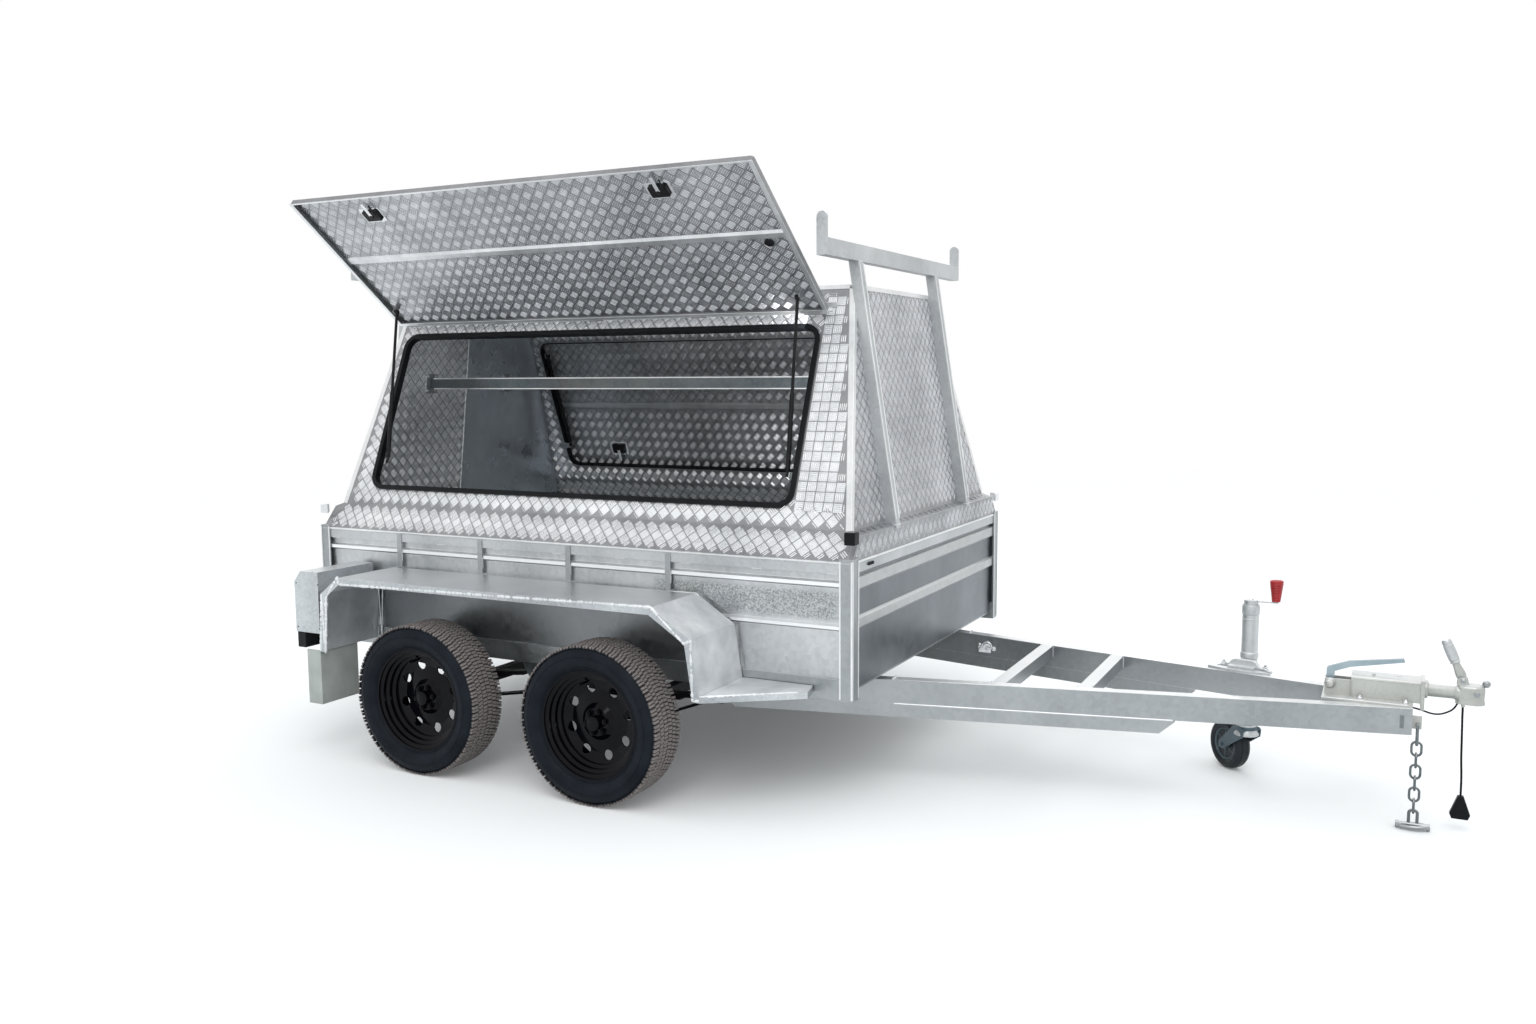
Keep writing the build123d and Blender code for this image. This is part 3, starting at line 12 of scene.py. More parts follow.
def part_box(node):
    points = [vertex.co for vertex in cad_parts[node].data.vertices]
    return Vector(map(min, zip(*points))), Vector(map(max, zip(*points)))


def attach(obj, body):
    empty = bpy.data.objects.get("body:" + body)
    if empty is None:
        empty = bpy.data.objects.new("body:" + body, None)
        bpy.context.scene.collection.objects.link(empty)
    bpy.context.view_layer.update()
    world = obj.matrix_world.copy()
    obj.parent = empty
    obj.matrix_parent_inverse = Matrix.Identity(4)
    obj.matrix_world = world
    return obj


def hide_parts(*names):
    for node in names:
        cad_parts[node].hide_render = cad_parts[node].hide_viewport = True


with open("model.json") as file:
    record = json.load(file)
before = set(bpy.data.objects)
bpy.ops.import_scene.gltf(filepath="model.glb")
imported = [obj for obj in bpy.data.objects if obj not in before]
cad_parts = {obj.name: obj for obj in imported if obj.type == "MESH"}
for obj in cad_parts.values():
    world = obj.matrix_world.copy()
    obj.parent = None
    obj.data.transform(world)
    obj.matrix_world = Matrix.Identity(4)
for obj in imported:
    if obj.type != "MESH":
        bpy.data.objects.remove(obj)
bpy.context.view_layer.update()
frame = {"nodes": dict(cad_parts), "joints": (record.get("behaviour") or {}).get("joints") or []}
NODES = frame["nodes"]
X, Y, Z = Vector((1, 0, 0)), Vector((0, 1, 0)), Vector((0, 0, 1))

# Places read from the CAD frame, in metres -------------------------------------------------------

TUB_LOW, TUB_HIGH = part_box("side_posts")
FRONT_X, REAR_X, SIDE_Y = TUB_HIGH.x, TUB_LOW.x, TUB_HIGH.y
DRAWBAR_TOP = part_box("drawbar_rails")[1].z
JOINTS = {joint["name"]: joint for joint in frame["joints"]}
# Heights of painted highlights: the sky's reflection along the pressed swages of the tub's sides and front
# panel.
SIDE_HIGHLIGHT_BANDS = [(0.667, 0.692), (0.818, 0.845)]
FRONT_HIGHLIGHT_BANDS = [(0.669, 0.714), (0.806, 0.858)]


def ahead(x, y, z):
    """Place measured ahead of the tub's front."""
    return FRONT_X + x, y, z


def circle(radius, steps, start=0.0):
    """Points round a circle, as pairs; start is a share of one step."""
    turns = [2 * pi * (step + start) / steps for step in range(steps)]
    return [(radius * cos(turn), radius * sin(turn)) for turn in turns]


# Camera and lead ---------------------------------------------------------------------------------

CAMERA_AHEAD = 1.6485
CAMERA_SIDE = -4.6874
CAMERA_UP = 1.5536
CAMERA_YAW = radians(27.19)
CAMERA_PITCH = radians(-6.345)
CAMERA_ROLL = radians(-0.359)
CAMERA_LENS = 28.93


def make_camera():
    """Camera placed from its own yaw, pitch and roll."""
    forward = Vector((-sin(CAMERA_YAW), cos(CAMERA_YAW), 0.0)) * cos(CAMERA_PITCH)
    forward.z = sin(CAMERA_PITCH)
    level = Vector((cos(CAMERA_YAW), sin(CAMERA_YAW), 0.0))
    plumb = level.cross(forward)
    right = level * cos(CAMERA_ROLL) + plumb * sin(CAMERA_ROLL)
    up = plumb * cos(CAMERA_ROLL) - level * sin(CAMERA_ROLL)
    place = Matrix((right, up, -forward)).transposed().to_4x4()
    place.translation = Vector(ahead(CAMERA_AHEAD, CAMERA_SIDE, CAMERA_UP))
    data = bpy.data.cameras.new("camera")
    data.sensor_width = 36.0
    data.lens = CAMERA_LENS
    data.clip_end = 200.0
    camera = bpy.data.objects.new("camera", data)
    camera.matrix_world = place
    bpy.context.scene.collection.objects.link(camera)
    bpy.context.scene.camera = camera


def cord_curve(name, points, radius):
    """Smooth round cord through a given route of control points."""
    curve = bpy.data.curves.new(name, "CURVE")
    curve.dimensions = "3D"
    curve.bevel_depth = radius
    curve.bevel_resolution = 4
    curve.use_fill_caps = True
    spline = curve.splines.new("NURBS")
    spline.points.add(len(points) - 1)
    for point, place in zip(spline.points, points):
        point.co = (*place, 1.0)
    spline.order_u = 3
    spline.use_endpoint_u = True
    spline.resolution_u = 12
    cord = bpy.data.objects.new(name, curve)
    bpy.context.scene.collection.objects.link(cord)
    return cord


LEAD_DIAMETER = 0.007
LEAD_ROUTE = [
    (1.872, -0.017, 0.428),
    (1.872, -0.017, 0.402),
    (1.873, -0.021, 0.362),
    (1.874, -0.029, 0.308),
    (1.875, -0.037, 0.250),
    (1.879, -0.042, 0.186),
    (1.879, -0.042, 0.128),
]
CABLE_DIAMETER = 0.006
CABLE_ROUTE = [
    (1.856, -0.012, 0.440),
    (1.850, -0.012, 0.418),
    (1.815, -0.013, 0.396),
    (1.785, -0.014, 0.392),
    (1.752, -0.014, 0.402),
    (1.722, -0.014, 0.409),
    (1.700, -0.014, 0.409),
]


def make_lead():
    """Trailer lead that hangs from the coupling head, with its plug."""
    points = [ahead(*place) for place in LEAD_ROUTE]
    lead = cord_curve("lead", points, LEAD_DIAMETER / 2)
    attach(lead, "coupling_head")
    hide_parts("lead_cord")
    return lead


def make_cable():
    """Brake cable that loops from under the sliding head back between the drawbar rails."""
    points = [ahead(*place) for place in CABLE_ROUTE]
    cable = cord_curve("brake_cable", points, CABLE_DIAMETER / 2)
    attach(cable, "coupling_head")
    return cable


# Materials ---------------------------------------------------------------------------------------


EDGE_RADIUS = 0.0015
NOISE_ROUGHNESS = 0.55


class Nodes:
    """Short ways to add nodes to a tree."""

    def __init__(self, tree):
        self.tree = tree

    def node(self, kind, values=None, links=None):
        """New node with values and links for its inputs, each by the input's name or number."""
        made = self.tree.nodes.new("ShaderNode" + kind)
        for name, value in (values or {}).items():
            made.inputs[name].default_value = value
        for name, source in (links or {}).items():
            self.tree.links.new(source, made.inputs[name])
        return made

    def pair(self, kind, operation, first, second):
        """Node that works one value out of two."""
        node = self.node(kind)
        node.operation = operation
        self.tree.links.new(first, node.inputs[0])
        self.tree.links.new(second, node.inputs[1])
        return node.outputs["Value"]

    def length(self, vector):
        node = self.node("VectorMath", links={"Vector": vector})
        node.operation = "LENGTH"
        return node.outputs["Value"]

    def grade(self, source, low, high, start=0.0, end=1.0):
        """Maps a source that runs from start to end onto low to high."""
        values = {"From Min": start, "From Max": end, "To Min": low, "To Max": high}
        return self.node("MapRange", values, {"Value": source}).outputs["Result"]

    def seen_rays(self):
        """1 for camera, glossy and transmission rays, so that metal and lenses show the background too."""
        path = self.node("LightPath")
        total = path.outputs["Is Camera Ray"]
        for name in ("Is Glossy Ray", "Is Transmission Ray"):
            total = self.pair("Math", "MAXIMUM", total, path.outputs[name])
        return total


class Shader(Nodes):
    """A node material with one Principled shader and short ways to feed it."""

    def __init__(self, name):
        self.material = bpy.data.materials.new(name)
        self.material.use_nodes = True
        super().__init__(self.material.node_tree)
        self.surface = self.tree.nodes["Principled BSDF"]
        self.where = self.node("TexCoord").outputs["Object"]
        self.rounded = self.node("Bevel", {"Radius": EDGE_RADIUS}).outputs["Normal"]

    def put(self, **values):
        """Sets plain values of the shader's inputs."""
        for name, value in values.items():
            self.surface.inputs[name.replace("_", " ")].default_value = value

    def feed(self, name, source):
        self.tree.links.new(source, self.surface.inputs[name])

    def stretch(self, x, y, z):
        """Object coordinates scaled along each axis."""
        return self.node("Mapping", {"Scale": (x, y, z)}, {"Vector": self.where}).outputs["Vector"]

    def noise(self, scale, detail=3.0, where=None):
        values = {"Scale": scale, "Detail": detail, "Roughness": NOISE_ROUGHNESS}
        return self.node("TexNoise", values, {"Vector": where or self.where}).outputs["Fac"]

    def flakes(self, scale):
        """Small crystal cells, each of one grey."""
        cells = self.node("TexVoronoi", {"Scale": scale}, {"Vector": self.where})
        return self.node("RGBToBW", links={"Color": cells.outputs["Color"]}).outputs["Val"]

    def add(self, *sources):
        total = sources[0]
        for source in sources[1:]:
            total = self.pair("Math", "ADD", total, source)
        return total

    def mix(self, factor, first, second):
        """First colour where the factor is 0, second where it is 1; each a tuple or a socket."""
        node = self.node("Mix")
        node.data_type = "RGBA"
        self.tree.links.new(factor, node.inputs["Factor"])
        for value, name in ((first, "A"), (second, "B")):
            socket = next(s for s in node.inputs if s.name == name and s.type == "RGBA")
            if isinstance(value, tuple):
                socket.default_value = (*value, 1.0)
            else:
                self.tree.links.new(value, socket)
        return next(s for s in node.outputs if s.type == "RGBA")

    def lesser(self, first, second):
        return self.pair("Math", "MINIMUM", first, second)

    def along(self, axis):
        """Place along one axis of the object, in metres."""
        return self.node("SeparateXYZ", links={"Vector": self.where}).outputs[axis]

    def between(self, axis, low, high, soft=0.003):
        """One inside a stretch of an object axis, nothing outside it."""
        place = self.along(axis)
        rise = self.grade(place, 0.0, 1.0, low - soft, low + soft)
        return self.lesser(rise, self.grade(place, 1.0, 0.0, high - soft, high + soft))

    def facing(self, low, high, start, end):
        """Value graded by how far the face points upward."""
        normal = self.node("NewGeometry").outputs["True Normal"]
        height = self.node("SeparateXYZ", links={"Vector": normal}).outputs["Z"]
        return self.grade(height, low, high, start, end)

    def edge_wear(self):
        """How far the rounded normal turns from the true one: bright on worn edges."""
        true = self.node("NewGeometry").outputs["Normal"]
        return self.grade(self.pair("VectorMath", "DOT_PRODUCT", true, self.rounded), 1.0, 0.0, 0.72, 0.99)

    def bump(self, source, distance, strength=1.0, below=None):
        links = {"Height": source, "Normal": below or self.rounded}
        values = {"Distance": distance, "Strength": strength}
        return self.node("Bump", values, links).outputs["Normal"]


EDGE_BRIGHT = (0.93, 0.94, 0.94)
PAINTED_SKY_SHEEN = (0.94, 0.95, 0.96)
PAINTED_UNDERSIDE_SHADE = (0.16, 0.17, 0.18)
STAIN = (0.30, 0.28, 0.25)
STIPPLE = ((0.20, 0.22, 0.22), (0.52, 0.54, 0.54))
PAINTED_GUARD_SHADOW = (0.12, 0.13, 0.14)


def zinc(
    name,
    dark,
    light,
    spangle=60.0,
    rough=0.36,
    metal=0.9,
    dirt=0.0,
    highlight_bands=(),
    patch=None,
    shade=None,
    pits=0.0002,
    highlight_grey=0.9,
):
    """Hot-dip zinc: small crystal spangle, cloudy patches, drawn-down runs and bright edges.

    The band heights get paler strips as painted highlights, standing for the sky's reflection on the pressed
    swages; patch is a dull stippled area in x and z, and shade a painted shadow, dark where the mudguard
    shades the side; upward faces get a painted sky sheen and downward faces painted shade.
    """
    s = Shader(name)
    grain = s.flakes(spangle)
    cloud = s.noise(2.4, 5.0)
    runs = s.noise(7.0, 4.0, s.stretch(1.0, 1.0, 0.15))
    tone = s.add(s.grade(grain, -0.10, 0.10), cloud, s.grade(runs, -0.16, 0.16))
    plain = s.mix(s.grade(tone, 0.0, 1.0, 0.28, 0.72), dark, light)
    # Painted highlight: a paler strip at each band height stands for the sky's reflection on a swage.
    for low, high in highlight_bands:
        plain = s.mix(s.between("Z", low, high), plain, (highlight_grey, highlight_grey * 1.02, highlight_grey * 1.03))
    if patch:
        x0, x1, z0, z1 = patch
        area = s.lesser(s.between("X", x0, x1, 0.02), s.between("Z", z0, z1, 0.008))
        speck = s.mix(s.grade(s.noise(170.0, 3.0), 0.0, 1.0, 0.4, 0.6), *STIPPLE)
        plain = s.mix(s.grade(area, 0.0, 0.8), plain, speck)
    # Painted shadow: the shade area is darkened where the mudguard shades the tub's side.
    if shade:
        x0, x1, z0, z1 = shade
        area = s.lesser(s.between("X", x0, x1, 0.04), s.between("Z", z0, z1, 0.05))
        plain = s.mix(s.grade(area, 0.0, 0.75), plain, PAINTED_GUARD_SHADOW)
    # Painted sky sheen: faces that point upward are paled toward white.
    plain = s.mix(s.facing(0.0, 0.55, 0.3, 0.9), plain, PAINTED_SKY_SHEEN)
    # Painted shade: faces that point downward are darkened.
    plain = s.mix(s.facing(0.0, 0.6, -0.3, -0.9), plain, PAINTED_UNDERSIDE_SHADE)
    stained = s.mix(s.grade(s.noise(1.7, 6.0), 0.0, dirt, 0.5, 0.75), plain, STAIN)
    s.feed("Base Color", s.mix(s.edge_wear(), stained, EDGE_BRIGHT))
    s.feed("Roughness", s.add(s.grade(grain, rough - 0.07, rough + 0.07), s.grade(cloud, -0.05, 0.08)))
    s.put(Metallic=metal)
    lumps = s.bump(s.noise(14.0, 4.0), 0.0016, 0.4)
    s.feed("Normal", s.bump(s.noise(220.0, 2.0), pits, 0.5, lumps))
    return s.material


def bright_plate(name, dark, light, rough=0.3, metal=0.92, scuff=0.35):
    """Rolled aluminium: satin lustre, short criss-cross scuffs and faint grey clouds."""
    s = Shader(name)
    cloud = s.noise(3.2, 5.0)
    blotch = s.noise(22.0, 4.0)
    scratch = s.noise(60.0, 3.0, s.stretch(1.0, 0.22, 0.9))
    tone = s.add(cloud, s.grade(blotch, -scuff / 2, scuff / 2), s.grade(scratch, -0.12, 0.12))
    plain = s.mix(s.grade(tone, 0.0, 1.0, 0.3, 0.7), dark, light)
    s.feed("Base Color", s.mix(s.edge_wear(), plain, (0.95, 0.95, 0.96)))
    s.feed("Roughness", s.add(s.grade(blotch, rough - 0.08, rough + 0.1), s.grade(scratch, -0.06, 0.06)))
    s.put(Metallic=metal)
    waves = s.bump(s.noise(9.0, 2.0), 0.004, 0.35)
    s.feed("Normal", s.bump(scratch, 0.0005, 0.5, waves))
    return s.material


def coated(
    name,
    dark,
    light,
    rough=0.4,
    coat=0.0,
    metal=0.0,
    grain=180.0,
    depth=0.0003,
    worn=None,
    shine=0.5,
):
    """Paint, rubber or plastic with slight mottling, a fine grain and an optional clear coat."""
    s = Shader(name)
    cloud = s.noise(8.0, 4.0)
    plain = s.mix(s.grade(cloud, 0.0, 1.0, 0.3, 0.7), dark, light)
    s.feed("Base Color", s.mix(s.edge_wear(), plain, worn) if worn else plain)
    s.feed("Roughness", s.grade(s.noise(26.0, 4.0), rough - 0.06, rough + 0.08, 0.3, 0.7))
    s.put(Metallic=metal, Coat_Weight=coat, Coat_Roughness=0.05, Specular_IOR_Level=shine)
    s.feed("Normal", s.bump(s.noise(grain, 2.0), depth, 0.5))
    return s.material


RUBBER = ((0.004, 0.006, 0.010), (0.010, 0.014, 0.020))
ROAD_DUST = (0.33, 0.29, 0.28)
DUST_FROM, DUST_FULL = 0.286, 0.297


def tyre_rubber(name):
    """Grey-black rubber with brown road dust on the tread, seen by distance from the axle."""
    s = Shader(name)
    split = s.node("SeparateXYZ", links={"Vector": s.where})
    flat = s.node("CombineXYZ", links={"X": split.outputs["X"], "Y": split.outputs["Z"]})
    far = s.length(flat.outputs["Vector"])
    speckle = s.noise(46.0, 6.0)
    reach = s.add(far, s.grade(speckle, -0.006, 0.006))
    dust = s.grade(reach, 0.0, 0.85, DUST_FROM, DUST_FULL)
    cloud = s.grade(s.noise(9.0, 4.0), 0.0, 1.0, 0.3, 0.7)
    s.feed("Base Color", s.mix(dust, s.mix(cloud, *RUBBER), ROAD_DUST))
    s.feed("Roughness", s.grade(speckle, 0.46, 0.62, 0.3, 0.7))
    s.put(Specular_IOR_Level=0.12)
    s.feed("Normal", s.bump(s.noise(240.0, 3.0), 0.0004, 0.6))
    return s.material


def lens(name, dark, light):
    """Moulded lamp lens with fine upright flutes under a glossy skin."""
    s = Shader(name)
    wave = s.node("TexWave", {"Scale": 60.0, "Distortion": 0.0}, {"Vector": s.stretch(0.0, 1.0, 0.0)})
    flutes = wave.outputs["Fac"]
    s.feed("Base Color", s.mix(flutes, dark, light))
    s.feed("Roughness", s.grade(s.noise(30.0), 0.1, 0.2))
    s.put(Coat_Weight=0.8, Coat_Roughness=0.05)
    s.feed("Normal", s.bump(flutes, 0.0008, 0.6))
    return s.material


SCUFFED = (0.03, 0.03, 0.034)


def make_materials():
    """Every material by name: what comes first in a call is its darker and its lighter colour."""
    patch = (FRONT_X - 0.80, FRONT_X - 0.06, 0.705, 0.802)
    # Area of the tub's side below the guard that gets a painted shadow.
    shade = (FRONT_X - 2.20, FRONT_X - 0.46, 0.40, 0.735)
    side = {"highlight_bands": SIDE_HIGHLIGHT_BANDS, "patch": patch, "shade": shade}
    # The front panel's swages get dimmer painted highlights.
    panel = {"highlight_bands": FRONT_HIGHLIGHT_BANDS, "pits": 0.00002, "highlight_grey": 0.46}
    made = [
        zinc("zinc", (0.29, 0.31, 0.32), (0.42, 0.44, 0.45), pits=0.0001),
        zinc("zinc_side", (0.38, 0.40, 0.41), (0.62, 0.64, 0.65), **side),
        zinc("zinc_panel", (0.12, 0.135, 0.15), (0.21, 0.23, 0.25), 30.0, 0.36, **panel),
        zinc("zinc_pale", (0.42, 0.44, 0.45), (0.60, 0.62, 0.63), 90.0, 0.42, 0.75),
        zinc("zinc_rough", (0.34, 0.36, 0.38), (0.60, 0.63, 0.65), 110.0, 0.34, 0.9, 0.2),
        zinc("zinc_dark", (0.10, 0.12, 0.13), (0.24, 0.27, 0.29), 70.0, 0.4, 0.85, 0.3),
        # Darker copy of the zinc for the inner bar: painted shade inside the canopy.
        zinc("zinc_inner", (0.05, 0.06, 0.07), (0.12, 0.14, 0.15), 70.0, 0.4, 0.85, 0.3),
        coated("frost", (0.62, 0.64, 0.65), (0.90, 0.91, 0.92), 0.5, 0.0, 0.35, 60.0, 0.002),
        coated("frost_sheet", (0.62, 0.64, 0.66), (0.94, 0.95, 0.96), 0.42, 0.0, 0.7, 34.0, 0.003),
        bright_plate("tread", (0.27, 0.275, 0.285), (0.40, 0.405, 0.42), 0.42),
        bright_plate("door_plate", (0.24, 0.245, 0.255), (0.38, 0.385, 0.40), 0.40),
        bright_plate("tread_pad", (0.60, 0.61, 0.63), (0.92, 0.93, 0.95), 0.36),
        bright_plate("tread_bar", (0.84, 0.85, 0.87), (0.97, 0.97, 0.98), 0.26),
        zinc("sheet_dim", (0.42, 0.47, 0.51), (0.56, 0.61, 0.65), 20.0, 0.3, pits=0.00002),
        # Darker copies of the tread pads and bars: painted shade for the canopy's front wall and the doors.
        bright_plate("tread_pad_in_painted_shade", (0.32, 0.33, 0.345), (0.58, 0.59, 0.61), 0.36),
        bright_plate("tread_bar_in_painted_shade", (0.50, 0.51, 0.53), (0.70, 0.71, 0.73), 0.26),
        bright_plate("aluminium", (0.70, 0.71, 0.72), (0.90, 0.91, 0.91), 0.34, 0.8, 0.15),
        bright_plate("bead", (0.55, 0.56, 0.57), (0.82, 0.83, 0.84), 0.36),
        coated("rim", (0.001, 0.001, 0.002), (0.003, 0.003, 0.005), 0.12, 0.08, depth=0.0001, shine=0.09),
        tyre_rubber("tyre"),
        coated("rubber", (0.003, 0.004, 0.005), (0.008, 0.009, 0.011), 0.42, shine=0.14),
        coated("black", (0.004, 0.004, 0.005), (0.01, 0.01, 0.012), 0.42, worn=SCUFFED, shine=0.2),
        coated("chrome", (0.66, 0.67, 0.69), (0.80, 0.81, 0.82), 0.14, metal=1.0, depth=0.0001),
        coated("red", (0.26, 0.007, 0.009), (0.44, 0.014, 0.016), 0.36, worn=(0.55, 0.05, 0.05)),
        lens("lamp_red", (0.24, 0.004, 0.004), (0.46, 0.012, 0.012)),
        lens("lamp_amber", (0.50, 0.13, 0.006), (0.74, 0.26, 0.02)),
        lens("lamp_clear", (0.55, 0.57, 0.58), (0.82, 0.84, 0.84)),
        coated("pale", (0.34, 0.36, 0.34), (0.48, 0.51, 0.48), 0.5),
        zinc("cream", (0.40, 0.41, 0.385), (0.56, 0.57, 0.54), 130.0, 0.42, 0.65, 0.2),
        coated("blue", (0.26, 0.34, 0.38), (0.38, 0.46, 0.50), 0.34, 0.3, 0.4, worn=(0.5, 0.56, 0.6)),
        coated("wheel_rubber", (0.006, 0.009, 0.012), (0.014, 0.020, 0.026), 0.42, shine=0.3),
        coated("wheel_hub", (0.03, 0.055, 0.07), (0.07, 0.11, 0.135), 0.36, worn=(0.2, 0.28, 0.32)),
    ]
    return {material.name: material for material in made}


# Piece building ----------------------------------------------------------------------------------


def axes(origin, x_way, z_way):
    """Matrix of a local frame from its origin, its x direction and its z direction."""
    z_way = Vector(z_way).normalized()
    y_way = z_way.cross(Vector(x_way)).normalized()
    x_way = y_way.cross(z_way)
    place = Matrix((x_way, y_way, z_way)).transposed().to_4x4()
    place.translation = Vector(origin)
    return place


HERE = Matrix.Identity(4)


class Piece:
    """Collects the faces of one piece, then makes the object that rides on a CAD body."""

    def __init__(self):
        self.verts = []
        self.faces = []

    def add(self, verts, faces, place=HERE):
        """Joins verts in a local frame, and faces that index them, to the piece."""
        base = len(self.verts)
        self.verts += [place @ Vector(v) for v in verts]
        self.faces += [tuple(base + i for i in face) for face in faces]

    def skin(self, rings, loop=False, caps=True, place=HERE):
        """Faces between rings that all have the same number of points."""
        count, total = len(rings[0]), len(rings)
        faces = []
        for r in range(total if loop else total - 1):
            here, there = r * count, (r + 1) % total * count
            for i in range(count):
                j = (i + 1) % count
                faces.append((here + i, here + j, there + j, there + i))
        if caps and not loop:
            faces.append(tuple(reversed(range(count))))
            faces.append(tuple(range((total - 1) * count, total * count)))
        self.add([p for ring in rings for p in ring], faces, place)

    def box(self, first, second):
        """Block between two opposite corners, given in any order."""
        (x0, x1), (y0, y1), (z0, z1) = (sorted(pair) for pair in zip(first, second))
        self.skin([[(x0, y0, z), (x1, y0, z), (x1, y1, z), (x0, y1, z)] for z in (z0, z1)])

    def prism(self, outline, low, high, place=HERE):
        """Outline in the local XY plane, counter-clockwise, from one height to another."""
        self.skin([[(x, y, z) for x, y in outline] for z in (low, high)], place=place)

    def lathe(self, profile, place=HERE, steps=32, caps=True):
        """Profile of (radius, height) turned about the local Z axis."""
        rings = [[(x, y, height) for x, y in circle(radius, steps)] for radius, height in profile]
        self.skin(rings, caps=caps, place=place)

    def tube(self, path, radius, steps=10, loop=False):
        """Round bar along a path; radius is a number or one number for each point."""
        path = [Vector(p) for p in path]
        radii = radius if isinstance(radius, list) else [radius] * len(path)
        side = None
        rings = []
        for i, point in enumerate(path):
            before = path[i - 1] if i or loop else point
            after = path[(i + 1) % len(path)] if i + 1 < len(path) or loop else point
            way = (after - before).normalized()
            if side is None:
                side = way.orthogonal()
            side = (side - way * side.dot(way)).normalized()
            other = way.cross(side)
            rings.append([point + side * a + other * b for a, b in circle(radii[i], steps)])
        self.skin(rings, loop=loop)

    def weld(self, start, end, radius=0.003):
        """Rippled weld bead between two points."""
        start, end = Vector(start), Vector(end)
        pitch = radius * 0.9
        steps = max(4, int((end - start).length / pitch))
        path = [start.lerp(end, i / steps) for i in range(steps + 1)]
        radii = [radius * (1.0 if i % 2 else 0.82) for i in range(steps + 1)]
        radii[0] = radii[-1] = radius * 0.5
        self.tube(path, radii, 7)

    def nut(self, place, across=0.017, height=0.008, stud=0.005, proud=0.004):
        """Hex nut with a washer and a stud end, standing on the local XY plane."""
        radius = across / 2 / cos(pi / 6)
        top = height + proud
        self.lathe([(radius * 1.25, 0), (radius * 1.25, 0.0012), (radius * 1.2, 0.0016)], place, 20)
        hexagon = [(radius * 0.9, 0.001), (radius, 0.002), (radius, height - 0.001), (radius * 0.88, height)]
        self.lathe(hexagon, place, 6)
        self.lathe([(stud, height - 0.001), (stud, top - 0.001), (stud * 0.7, top)], place, 12)

    def rivet(self, place, radius=0.004):
        """Domed rivet head on the local XY plane."""
        dome = [(radius * cos(a), radius * 0.55 * sin(a)) for a in (0.0, 0.45, 0.9, 1.3)]
        self.lathe(dome, place, 10)

    def move(self, place):
        self.verts = [place @ v for v in self.verts]

    def make(self, name, material, body, slot, bevel=0.0, smooth=35.0, replaces=(), origin=None):
        """Object from the collected faces; smooth is the angle in degrees above which an edge is sharp."""
        mesh = bpy.data.meshes.new(name)
        mesh.from_pydata(self.verts, [], self.faces)
        mesh.validate()
        if bevel:
            shape = bmesh.new()
            shape.from_mesh(mesh)
            bmesh.ops.recalc_face_normals(shape, faces=shape.faces)
            shape.to_mesh(mesh)
            shape.free()
        if origin:
            mesh.transform(Matrix.Translation(-origin))
        mesh.materials.append(MATERIALS[material])
        mesh.polygons.foreach_set("use_smooth", [smooth > 0] * len(mesh.polygons))
        if smooth > 0:
            mesh.set_sharp_from_angle(angle=radians(smooth))
        piece = bpy.data.objects.new(name, mesh)
        piece.location = origin or (0, 0, 0)
        bpy.context.scene.collection.objects.link(piece)
        if bevel:
            rounding = piece.modifiers.new("edges", "BEVEL")
            rounding.width = bevel
            rounding.segments = 2
            rounding.limit_method = "ANGLE"
            rounding.angle_limit = radians(40)
        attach(piece, body)
        if replaces:
            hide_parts(*replaces)
        return piece


# Flat areas and tread plate ----------------------------------------------------------------------

FACET_AREA = 0.012


def flat_areas(node):
    """Coplanar groups of a CAD node's triangles: (unit normal, triangle corners, area)."""
    mesh = NODES[node].data
    mesh.calc_loop_triangles()
    verts = np.array([v.co for v in mesh.vertices])
    corners = verts[np.array([t.vertices[:] for t in mesh.loop_triangles])]
    cross = np.cross(corners[:, 1] - corners[:, 0], corners[:, 2] - corners[:, 0])
    size = np.linalg.norm(cross, axis=1)
    solid = size > 1e-9
    corners, cross, size = corners[solid], cross[solid], size[solid]
    normal = cross / size[:, None]
    offset = np.einsum("ij,ij->i", normal, corners[:, 0])
    keys = np.round(np.column_stack((normal * 50, offset * 1000))).astype(int)
    found = []
    for key in np.unique(keys, axis=0):
        chosen = np.all(keys == key, axis=1)
        area = size[chosen].sum() / 2
        if area > FACET_AREA:
            found.append((normal[chosen][0], corners[chosen], area))
    return found


def plane_of(node, facing):
    """Unit normal and one point of a CAD node's largest flat area that faces a given way."""
    normal, corners, _ = max((a for a in flat_areas(node) if facing(a[0])), key=lambda a: a[2])
    return Vector(normal), Vector(corners[0, 0])


def on_wall(plane, y, z, out=0.0):
    """Point of an upright end plane at a side and a height, moved out along its normal."""
    normal, point = plane
    x = point.x - (normal.y * (y - point.y) + normal.z * (z - point.z)) / normal.x
    return Vector((x, y, z)) + normal * out


def meet(*planes):
    """The point where three planes meet."""
    rows = Matrix([normal for normal, _ in planes])
    return rows.inverted() @ Vector([normal.dot(point) for normal, point in planes])


CELL = 0.038
BARS_PER_CELL = 5
BAR_HALF_LENGTH = 0.0155
BAR_HALF_WIDTH = 0.0021
BAR_TIP = 0.005
BAR_HEIGHT = 0.0018
BAR_SINK = -0.0001
PAD_HEIGHT = 0.0004
PAD_GAP = 0.0036
BAR_MARGIN = 0.003
SKIN_LIFT = 0.0006
BAR_FACES = [(0, 1, 6), (1, 2, 7, 6), (2, 3, 7), (3, 4, 7), (4, 5, 6, 7), (5, 0, 6)]


